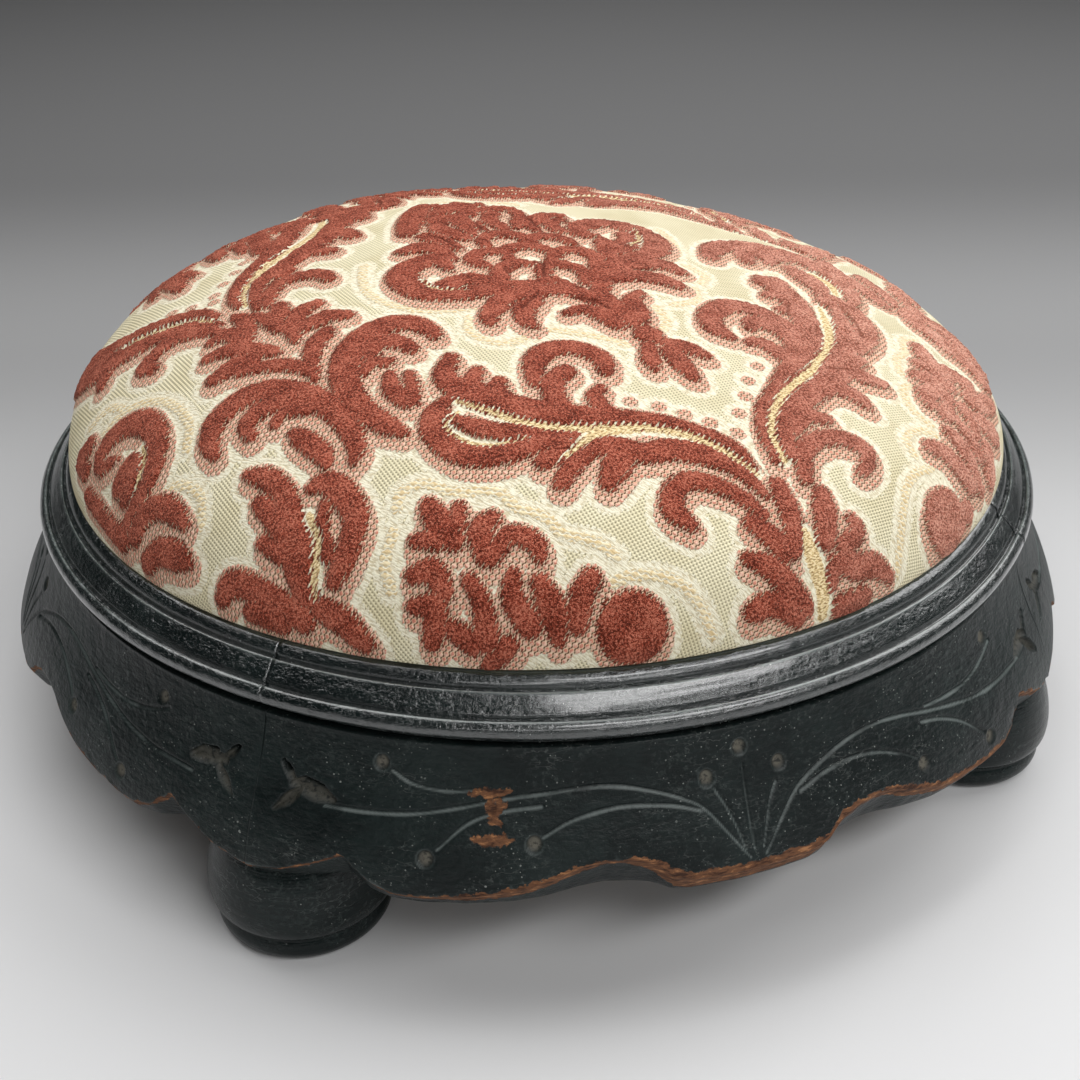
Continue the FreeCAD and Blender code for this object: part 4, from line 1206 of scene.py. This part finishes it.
# little dotted rosettes
DOTS = """
-4,-92
3,-95
9,-99
15,-103
21,-108
25,-100
30,-93
34,-86
40,-79
-99,18
-107,17
-95,25
-90,32
-86,39
-100,13
-113,21
"""
print("pile strokes:", len(chains(PILE)), "rosette dots:", len(chains(DOTS)))

# %% [markdown]
# ## Repeating the figure
# A damask repeats in a half-drop lattice: each unit returns up and to the left, and up and to the
# right. The front of the pad is drawn stroke by stroke. The back takes the same drawing, moved by
# the two steps of the lattice, so the weave runs on over the crown without a seam. Each drawing's
# distances grow past the place where the other takes over, and the smaller one counts.

# %% Distances on the whole cloth
STEP_LEFT, STEP_RIGHT = (-120.0, 121.0), (56.0, 161.0)
BACK_LINE = [-60, -24, -20, 60, 100, 160], [66, 62, 47, 45, 12, 6]
FRONT_OVER, BACK_OVER, PAST_SLOPE = 7, 3, 2
HALO_SHIFT, HALO_WIDTH, HALO_SHADOW, RIB_CLEARANCE = (0.4, 2.6), 1.2, 2.1, 1.5
PILE_GROWTH, CORD_HALF, DOT_HALF = 0.1, 1.5, 2.2


def figure(u, v):
    """Distances in mm to pile, ribs, seams, cords and dots; pile is cut open by cuts and ribs, and
    no halo lies along a rib."""
    def gap(text, shift=(0.0, 0.0)):
        return distance_to(chains(text), u + shift[0], v + shift[1])

    ribs = gap(RIBS)
    pile = np.maximum(gap(PILE) - PILE_GROWTH, -np.minimum(gap(CUTS), ribs + 0.1))
    halo = np.minimum(pile - HALO_WIDTH, gap(PILE, HALO_SHIFT) - HALO_SHADOW)
    return {"pile": pile, "halo": np.maximum(halo, RIB_CLEARANCE - ribs), "rib": ribs,
            "seam": gap(SEAMS), "cord": gap(CORDS) - CORD_HALF, "dot": gap(DOTS) - DOT_HALF}


def figure_all_over(u, v):
    """The drawn front, and behind a line across the cloth the same drawing moved by one step of the
    lattice; each one's distances grow by twice the way past that line."""
    back_from = np.interp(u, *BACK_LINE)
    past = PAST_SLOPE * np.clip(v - back_from - FRONT_OVER, 0, None)
    short = PAST_SLOPE * np.clip(back_from - BACK_OVER - v, 0, None)
    left = u < 26 - 0.2256 * (v + 140)
    step_u, step_v = (np.where(left, a, b) for a, b in zip(STEP_LEFT, STEP_RIGHT))
    front, behind = figure(u, v), figure(u - step_u, v - step_v)
    return {name: np.minimum(front[name] + past, behind[name] + short) for name in front}

# %% [markdown]
# ## The velvet cover
# The cover is one closed skin: the domed top, the lower edge that tucks in behind the rim's bead
# and is turned in under the board, and the wrong side of the cloth above the stuffing. The top is
# a dense polar grid, because the pile really stands up from the ground by more than a millimetre
# and throws its own shadow. Rows are cloth distances from the rim to the crown, columns are turns.

# %% Cover
COVER_ROWS, COVER_COLUMNS, BACK_ROWS = 252, 1240, 16
COVER_START, BACK_START, COVER_FADE = 0.9, 6.0, 14.0
COVER_SINK, CLOTH_DEPTH, FAR = 0.9, 3.1, 9.0
PILE_HEIGHT, RIB_HEIGHT, CORD_HEIGHT, LOOP_HEIGHT, DOT_HEIGHT = 1.15, 0.30, 0.18, 0.2, 0.25
TUCK = [(143.8, 86.0), (143.8, 76.2), (143.2, 74.7), (131.5, 74.6), (131.5, 72.5), (144.4, 72.5),
        (145.3, 72.8), (145.9, 74.0), (145.9, 88.0), (146.1, 88.7), (147.2, 88.95), (148.3, 89.25)]
FOLDED = [0] * 9 + [0.3, 1, 1]


def spread(coarse, rows_at, columns_at):
    """Catmull-Rom through the coarse values along rows and, closed, along columns."""
    def weights(t):
        return np.stack([-t + 2 * t ** 2 - t ** 3, 2 - 5 * t ** 2 + 3 * t ** 3,
                         t + 4 * t ** 2 - 3 * t ** 3, -t ** 2 + t ** 3]) / 2

    row, column = np.floor(rows_at).astype(int), np.floor(columns_at).astype(int)
    by_row, by_column = weights(rows_at - row), weights(columns_at - column)
    total = 0.0
    for i in range(4):
        picked = coarse[np.clip(row + i - 1, 0, coarse.shape[0] - 1)]
        for j in range(4):
            beside = picked[:, (column + j - 1) % coarse.shape[1]]
            total = total + by_row[i][:, None] * by_column[j][None, :] * beside
    return total


def step(value, low, high):
    """A smooth step from 0 at low to 1 at high: three squares less two cubes of the share."""
    t = np.clip((value - low) / (high - low), 0, 1)
    return t * t * (3 - 2 * t)


def relief(lines, u, v):
    """Height of the cloth over its ground in mm, from the distances: standing pile with ragged
    shoulders, sunk at seams, low stitched ribs and cords, and the thin raised loops of the halo."""
    inside = {name: -value for name, value in lines.items()}
    ragged = ripples(71, 40, 0.62 * u + 0.49 * v, 2.0 * (0.62 * v - 0.79 * u), size=0.4, scale=1.1)
    pile = PILE_HEIGHT * step(inside["pile"] + ragged, -0.3, 0.5)
    pile = pile * (0.84 + 0.16 * step(inside["pile"], 0.5, 3.0))
    pile = pile * (1 - 0.5 * step(inside["seam"], -0.95, -0.15))
    pile = pile + step(inside["pile"], 0, 0.6) * ripples(72, 50, u, v, size=0.16, scale=2.0)
    low = [(RIB_HEIGHT, "rib", 0.5), (CORD_HEIGHT, "cord", 0.5), (LOOP_HEIGHT, "halo", 0.3),
           (DOT_HEIGHT, "dot", 0.3)]
    low = [most * step(inside[name], -soft, soft) for most, name, soft in low]
    return np.max([pile, *low], axis=0)


def make_cover():
    """Rows: the wrong side from the crown outwards, the tuck under the board, then the top from the
    rim to the crown. Each point also keeps its cloth coordinates for the material."""
    turns = ring_turns(COVER_COLUMNS)
    arcs = np.linspace(COVER_START, PAD_ARC, COVER_ROWS)[::-1, None]
    inward = PAD_ARC - arcs
    base = pad_surface(arcs, turns)
    u, v = arcs * np.cos(turns), arcs * np.sin(turns)
    swelling = spread(swell, inward[:, 0] / (PAD_ARC - COARSE_START) * (COARSE_ROWS - 1),
                      np.arange(COVER_COLUMNS) * COARSE_COLUMNS / COVER_COLUMNS)
    lumps = ripples(70, 24, u / 22, v / 22, size=0.5)
    lines = figure_all_over(u, v)
    height = relief(lines, u, v) * (0.35 + 0.65 * step(inward, 0.5, 4))
    height = height + (swelling + lumps - COVER_SINK) * step(inward, 0, COVER_FADE)
    top = base + outward_of(base) * height[..., None]
    radius, lift = np.array(TUCK).T[..., None]
    folds = ripples(73, 30, turns, scale=30.0, size=0.12) * np.array(FOLDED)[:, None]
    tucked = spun(radius + folds, turns, lift + folds)
    back_arcs = np.linspace(BACK_START, PAD_ARC * 0.995, BACK_ROWS)[:, None]
    back = pad_surface(back_arcs, turns)
    back = back - outward_of(back[::-1])[::-1] * CLOTH_DEPTH
    points = np.vstack([back, tucked, top])
    hidden = np.full((len(back) + len(tucked)) * COVER_COLUMNS, FAR)
    values = {name: np.concatenate([hidden, value.ravel(), [value[-1].mean(), FAR]])
              for name, value in lines.items()}
    piece = ring_solid("velvet_pad_cover", points, points[-1].mean(0), points[0].mean(0), values,
                       flat=False)
    beyond = (PAD_ARC + 2.0 * np.arange(len(tucked), 0, -1))[:, None]
    cloth = np.vstack([spun(way, turns, 0.0) for way in (back_arcs, beyond, arcs)]).reshape(-1, 3)
    cloth = np.vstack([cloth, np.zeros((2, 3))])
    layer = piece.data.attributes.new("cloth", "FLOAT_VECTOR", "POINT")
    layer.data.foreach_set("vector", np.ascontiguousarray(cloth, np.float32).ravel())
    return piece


cover = make_cover()
box = np.array([corner[:] for corner in cover.bound_box])
print("cover reaches", np.round(box.min(0), 4), np.round(box.max(0), 4))

# %% [markdown]
# ## Weaves as grids
# Three weaves share the cloth. The open ground is an even grid of cream threads with a small dark
# hole between each four. Beside the figure the cream weft floats on top, so it is brighter and
# smoother. The halo is the same red yarn as the pile, but woven flat as short loops in slanting
# rows. One group makes all the grids: it adds two cosines, one for each thread direction, so the
# sum is high between the threads and low on them. Every row may be shifted against the last one.

# %% Group: thread grid
thread_grid, into, out = new_group(
    "thread grid", {"Vector": None, "Across": 1.0, "Along": 1.0, "Shift": 0.0},
    "Holes", "Threads", "Between Rows")
parts = put(thread_grid, "SeparateXYZ", _0=into["Vector"])
row = maths("DIVIDE", parts["Y"], into["Along"])
column = maths("DIVIDE", parts["X"], into["Across"]) + maths("ROUND", row) * into["Shift"]
wave_x = maths("COSINE", column * (2 * math.pi))
wave_y = maths("COSINE", row * (-2 * math.pi))
both = wave_x - wave_y
feed(thread_grid, out["Holes"], ramp(both, 0.35, 1.5))
feed(thread_grid, out["Threads"], maths("ADD", both * -0.25, 0.5, clamp=True))
feed(thread_grid, out["Between Rows"], ramp(wave_y, 0.1, -0.9))
print("group:", thread_grid.name)

# %% [markdown]
# ## Cut velvet
# The material layers the weaves from the ground up: open grid, floating weft, gold cords and ribs,
# red halo loops, and last the pile. Pile swallows light between its tufts and shines at its tips,
# so its colour jumps from tuft to tuft between a painted shade and a painted highlight. A painted
# shade also darkens the pile along its edges and the ground just outside it. The outline of the
# pile is torn by a noise that is stretched along the slant of the loops, which gives it teeth. The
# pile is lighter, towards salmon, on its right-hand side: partly faded, partly painted light from
# the lamp on the right.

# %% Material: cut velvet
CREAM, CREAM_DULL, CREAM_FLOAT = (0.84, 0.77, 0.54, 1), (0.74, 0.66, 0.43, 1), (0.90, 0.85, 0.67, 1)
CREAM_SHADE, FLOAT_SHADE = (0.24, 0.195, 0.10, 1), (0.66, 0.57, 0.38, 1)
GOLD, GOLD_PALE, GOLD_SHADE = (0.72, 0.52, 0.25, 1), (0.88, 0.74, 0.46, 1), (0.30, 0.19, 0.08, 1)
# pile colours: painted shade between tufts, mid tone, and painted highlight at the tips
PILE_COLOURS = [(0.105, 0.017, 0.008, 1), (0.345, 0.064, 0.034, 1), (0.63, 0.20, 0.125, 1)]
# pile colours of the right-hand side: faded, and lightened as painted light from the right lamp
FADED_AND_LIT_COLOURS = [(0.25, 0.075, 0.042, 1), (0.72, 0.29, 0.20, 1), (0.92, 0.55, 0.42, 1)]
LOOP_RED, LOOP_PALE = (0.66, 0.26, 0.18, 1), (0.86, 0.55, 0.42, 1)
# the dark colour is shade in the gaps between halo loops, also painted as shade at the pile's foot
LOOP_BASE, LOOP_GAP_SHADE = (0.80, 0.62, 0.42, 1), (0.125, 0.045, 0.024, 1)
SHEEN_TINT = (1.0, 0.75, 0.62, 1)
WEAVE_ANGLE, SLANT, BRAID_ANGLE = math.radians(-12.7), math.radians(-38), math.radians(28)


def make_velvet():
    """Cloth coordinates and figure distances to colour and bump; fray is the noise in millimetres
    that is added to each distance before its mask is cut, less for the flatter weaves."""
    material, tree, place = new_material(
        "cut_velvet_cloth", Roughness=0.92, Specular_IOR_Level=0.12, Sheen_Weight=0.10,
        Sheen_Roughness=0.45, Sheen_Tint=SHEEN_TINT)
    cloth = attribute(tree, "cloth", "Vector")
    pile, halo, rib, seam, cord, dot = (
        attribute(tree, name) for name in ("pile", "halo", "rib", "seam", "cord", "dot"))
    weave, slanted = turned(cloth, WEAVE_ANGLE), turned(cloth, SLANT)
    nap = noise(cloth, 1.35, 2.0, 0.65)
    teeth = noise(stretched(slanted, (0.6, 1.7, 1.0)), 1.0, 2.0, 0.6) - 0.5
    loops = use(thread_grid, Vector=slanted, Across=1.7, Along=1.45, Shift=0.5)
    fray = teeth * 3.6 + (nap - 0.5) * 1.2 + (loops["Between Rows"] - 0.4) * 0.9

    grid = use(thread_grid, Vector=weave, Across=1.05, Along=0.95)
    ground = blend(ramp(noise(cloth, 0.05), 0.35, 0.75), CREAM, CREAM_DULL)
    ground = blend(grid["Holes"] * 0.7, ground, CREAM_SHADE)
    streak = noise(stretched(slanted, (1.9, 0.5, 1.0)), 1.0, 3.0, 0.6)
    floating = blend(ramp(streak, 0.38, 0.56), FLOAT_SHADE, CREAM_FLOAT)
    near = smaller(smaller(halo, cord), smaller(rib, dot))
    is_float = ramp(near + fray * 0.7, 2.5, 2.0)
    colour = blend(is_float, ground, floating)

    braid = use(thread_grid, Vector=turned(cloth, BRAID_ANGLE), Across=2.7, Along=1.5, Shift=0.5)
    stitched = blend(ramp(noise(cloth, 0.7, 1.0), 0.42, 0.6), GOLD, GOLD_PALE)
    stitched = blend(ramp(braid["Threads"], 0.32, 0.52), CREAM_FLOAT, stitched)
    stitched = blend(ramp(braid["Threads"], 0.24, 0.05) * 0.7, stitched, GOLD_SHADE)
    is_cord = ramp(cord + fray * 0.5, 0.2, -0.15)
    colour = blend(is_cord * 0.8, colour, stitched)
    cross = noise(stretched(weave, (0.9, 2.2, 1.0)), 1.0)
    veins = blend(ramp(cross, 0.36, 0.5), GOLD_SHADE, GOLD)
    veins = blend(ramp(cross, 0.46, 0.6), veins, GOLD_PALE)
    colour = blend(ramp(rib + fray * 0.35, 0.35, -0.05), colour, veins)

    dashes = blend(ramp(noise(cloth, 0.9, 1.0), 0.4, 0.62), LOOP_RED, LOOP_PALE)
    dashes = blend(ramp(loops["Threads"], 0.42, 0.62), LOOP_BASE, dashes)
    dashes = blend(ramp(loops["Threads"], 0.43, 0.20), dashes, LOOP_GAP_SHADE)
    is_halo = ramp(smaller(halo, dot) + fray * 0.35, 0.2, -0.15)
    colour = blend(is_halo, colour, dashes)

    tuft = nap * 0.6 + noise(cloth, 3.1, 1.0) * 0.4 + (noise(cloth, 0.16) - 0.5) * 0.22
    # lighter towards +X: partly fading, partly painted light from the right
    sunned_and_lit = ramp(put(tree, "SeparateXYZ", _0=place), 0.0, 0.125)
    pile_shade, mid, tip = (blend(sunned_and_lit, fresh, faded_and_lit)
                      for fresh, faded_and_lit in zip(PILE_COLOURS, FADED_AND_LIT_COLOURS))
    red = blend(ramp(tuft, 0.42, 0.50), pile_shade, mid)
    red = blend(ramp(tuft, 0.50, 0.585), red, tip)
    # painted shade along the pile's edge
    red = blend(ramp(pile + fray * 0.5, -0.75, 0.1) * 0.22, red, pile_shade)
    # painted shade in the seams between tufts
    red = blend(ramp(seam, 0.9, 0.2) * 0.7, red, pile_shade)
    torn_pile = pile + fray
    is_pile = ramp(torn_pile, 0.1, -0.1)
    # painted shade on the ground just outside the pile
    colour = blend(ramp(torn_pile, 0.5, 0.0) * 0.35, colour, LOOP_GAP_SHADE)

    woven = grid["Threads"] * (1.0 - is_float) + streak * 1.2 * is_float
    woven = woven + loops["Threads"] * is_halo * 1.1 + braid["Threads"] * is_cord * 0.9
    height = woven * (1.0 - is_pile) + tuft * 4.5 * is_pile
    finish(material, Base_Color=blend(is_pile, colour, red), Normal=bump(height, 0.8, 0.0005))
    return material


dress(cover, make_velvet(), "cut_velvet", "velvet_cover")

# %% [markdown]
# ## Under the cover
# Below the velvet lies a plain calico lining over the horsehair. Nobody sees them unless the cover
# comes off, but they are real pieces, so they get the same dome moved inwards: the lining as a
# thin closed skin, the hair as one full form that rests on the board.

# %% Lining and stuffing
CREAM_CALICO, CALICO_SHADE = (0.55, 0.47, 0.33, 1), (0.33, 0.27, 0.17, 1)
HAIR_DARK, HAIR_LIGHT = (0.02, 0.012, 0.008, 1), (0.14, 0.085, 0.05, 1)
INNER_ROWS, INNER_COLUMNS = 60, 180


def inner_dome(name, inset, lift, lumps, closing):
    """The dome moved in by the inset and not below the lift, ending in the given (radius, height)
    rows below, closed."""
    turns = ring_turns(INNER_COLUMNS)
    arcs = np.linspace(3.0, PAD_ARC, INNER_ROWS)[::-1, None]
    top = pad_surface(arcs, turns)
    bumps = ripples(88, 16, arcs * np.cos(turns) / 20, arcs * np.sin(turns) / 20, size=lumps)
    top = top - outward_of(top) * (inset + np.abs(bumps))[..., None]
    top[..., 2] = np.maximum(top[..., 2], lift)
    radius, height = np.array(closing).T[..., None]
    points = np.vstack([spun(radius, turns, height), top])
    return ring_solid(name, points, points[-1].mean(0), points[0].mean(0), flat=False)


def fibre_material(name, dark, light, woven):
    """A plain weave or a tangle of hair, as one pattern for colour and bump."""
    material, tree, place = new_material(name, Roughness=0.9, Specular_IOR_Level=0.15)
    in_mm = stretched(place, (1000.0, 1000.0, 1000.0))
    if woven:
        pattern = use(thread_grid, Vector=in_mm, Across=0.8, Along=0.8)["Threads"]
    else:
        pattern = noise(in_mm, 1.0, 3.0, 0.7)
    finish(material, Base_Color=blend(ramp(pattern, 0.3, 0.7), dark, light),
           Normal=bump(pattern, 0.6, 0.0006))
    return material


lining = inner_dome("calico_under_cover", 3.3, 88.2, 0.0,
                    [(20.0, 87.9), (120.0, 87.9), (142.9, 87.9)])
hair = inner_dome("curled_hair_stuffing", 4.3, 88.6, 0.5,
                  [(20.0, 88.3), (120.0, 88.3), (141.6, 88.3)])
calico = fibre_material("calico_weave", CALICO_SHADE, CREAM_CALICO, woven=True)
curls = fibre_material("curled_horsehair", HAIR_DARK, HAIR_LIGHT, woven=False)
dress(lining, calico, "calico", "calico_lining")
dress(hair, curls, "horsehair", "horsehair_stuffing")

# %% [markdown]
# ## Pine and steel
# The board under the pad, the glued corner blocks, the tacks and the screws keep their CAD shapes.
# Pine that has never been polished goes grey-brown, with darker late-wood lines. Blued steel is
# nearly black, with a little rust. Their finishes use Object coordinates, so they need no
# unwrapping.

# %% Materials of the kept CAD pieces
PINE, PINE_LATE, PINE_GRIME = (0.36, 0.24, 0.13, 1), (0.20, 0.115, 0.055, 1), (0.11, 0.085, 0.06, 1)
BLUED_DARK, BLUED_PALE, RUST = (0.05, 0.06, 0.08, 1), (0.16, 0.17, 0.19, 1), (0.16, 0.06, 0.025, 1)


def bare_pine():
    """Late-wood lines are a sine of a stretched noise, with fine fibre and some grime over them."""
    material, tree, place = new_material("old_bare_pine", Roughness=0.75, Specular_IOR_Level=0.3)
    rings = maths("SINE", noise(stretched(place, (4.0, 34.0, 34.0)), 1.0, 3.0) * 95.0)
    tone = rings * 0.2 + noise(stretched(place, (40.0, 900.0, 900.0)), 1.0, 3.0, 0.6)
    wood = blend(ramp(tone, 0.25, 0.85), PINE, PINE_LATE)
    grime = ramp(noise(place, 22.0, 4.0, 0.6), 0.45, 0.75)
    finish(material, Base_Color=blend(grime * 0.55, wood, PINE_GRIME),
           Normal=bump(tone, 0.4, 0.0003))
    return material


def blued_steel():
    material, tree, place = new_material("blued_steel_heads", Metallic=1.0)
    rust = ramp(noise(place, 260.0, 4.0, 0.65), 0.52, 0.66)
    steel = blend(noise(place, 420.0, 3.0), BLUED_DARK, BLUED_PALE)
    finish(material, Base_Color=blend(rust, steel, RUST),
           Roughness=maths("ADD", 0.32, rust * 0.5, clamp=True))
    return material


pine, steel = bare_pine(), blued_steel()
KEPT = {"baseboard": pine, "block_rear_right": pine, "block_rear_left": pine,
        "block_front_left": pine, "block_front_right": pine, "cover_tacks": steel,
        "board_screws": steel}
for name, material in KEPT.items():
    kept = nodes[name]
    if not kept.material_slots:
        kept.data.materials.append(material)
    for slot in kept.material_slots:
        slot.material = material
print("kept CAD nodes:", ", ".join(KEPT))

# %% [markdown]
# ## Floor, backdrop and light
# The stool stands on a pale sweep whose colour goes darker towards the back, a painted shade for
# the light falling off. The floor and the backdrop are one wide sheet whose colour changes with its
# depth from front to back.
# A large soft lamp above and behind the stool and one on the right light the pad. Two narrow ones
# in front give the rim its glints and open the dark wood, and the world adds an even low light.

# %% Sweep
SWEEP_FRONT, SWEEP_BACK_SHADE = (0.68, 0.68, 0.684, 1), (0.15, 0.15, 0.151, 1)
WALL_AT, BEND = 1.4, 1.2


def make_sweep():
    """A flat sheet that rises into a wall along a quarter circle, turned to face the camera."""
    bend = np.linspace(0.2, 1.57, 10)
    depth = [[-3.0, -1.2, -0.4, 0.0, 0.4, 0.8, WALL_AT], WALL_AT + BEND * np.sin(bend),
             [WALL_AT + BEND]]
    rise = [[0.0] * 7, BEND * (1 - np.cos(bend)), [5.0]]
    depth, rise = (np.concatenate(rows)[:, None] for rows in (depth, rise))
    side = np.linspace(-5, 5, 21)[None, :]
    cosine, sine = math.cos(CAMERA_TURN), math.sin(CAMERA_TURN)
    across, away = side * cosine + depth * sine, depth * cosine - side * sine
    points = np.stack(np.broadcast_arrays(across, away, rise), -1)
    quads = quads_of(*points.shape[:2], False)[:, ::-1]
    sweep = mesh_object("studio_sweep", points.reshape(-1, 3), quads, flat=False)
    material, tree, place = new_material("studio_paper", Roughness=0.95, Specular_IOR_Level=0.1)
    back = put(tree, "SeparateXYZ", _0=turned(place, CAMERA_TURN))["Y"]
    # painted shade: the colour darkens towards the back as the light falls off
    shade = ramp(back, -0.12, 0.26) * 0.77 + ramp(back, 0.26, 0.55) * 0.23
    finish(material, Base_Color=blend(shade, SWEEP_FRONT, SWEEP_BACK_SHADE))
    sweep.data.materials.append(material)
    return sweep


make_sweep()

# %% Lamps and world
AIM = (0, 0, 0.08)


def soft_lamp(name, at, towards, size, power):
    lamp = bpy.data.lights.new(name, "AREA")
    lamp.shape = "RECTANGLE"
    lamp.size, lamp.size_y = size
    lamp.energy = power
    holder = bpy.data.objects.new(name, lamp)
    way = Vector(towards) - Vector(at)
    holder.matrix_world = Matrix.Translation(at) @ way.to_track_quat("-Z", "Y").to_matrix().to_4x4()
    bpy.context.scene.collection.objects.link(holder)


soft_lamp("top_soft_box", (-0.15, 0.48, 1.25), AIM, (1.5, 1.1), 15.0)
soft_lamp("right_soft_box", (0.85, 0.1, 0.95), AIM, (0.9, 1.0), 9.5)
soft_lamp("front_soft_box", (0.25, -0.95, 1.15), AIM, (1.1, 0.30), 8.5)
soft_lamp("front_strip", (0.0, -1.2, 0.7), (0, -0.1, 0.08), (1.7, 0.12), 3.0)
world = bpy.data.worlds.new("studio_air")
world.use_nodes = True
air = world.node_tree.nodes["Background"].inputs
air["Color"].default_value = (1, 1, 1, 1)
air["Strength"].default_value = 0.02
bpy.context.scene.world = world
bpy.context.scene.view_settings.view_transform = "Standard"
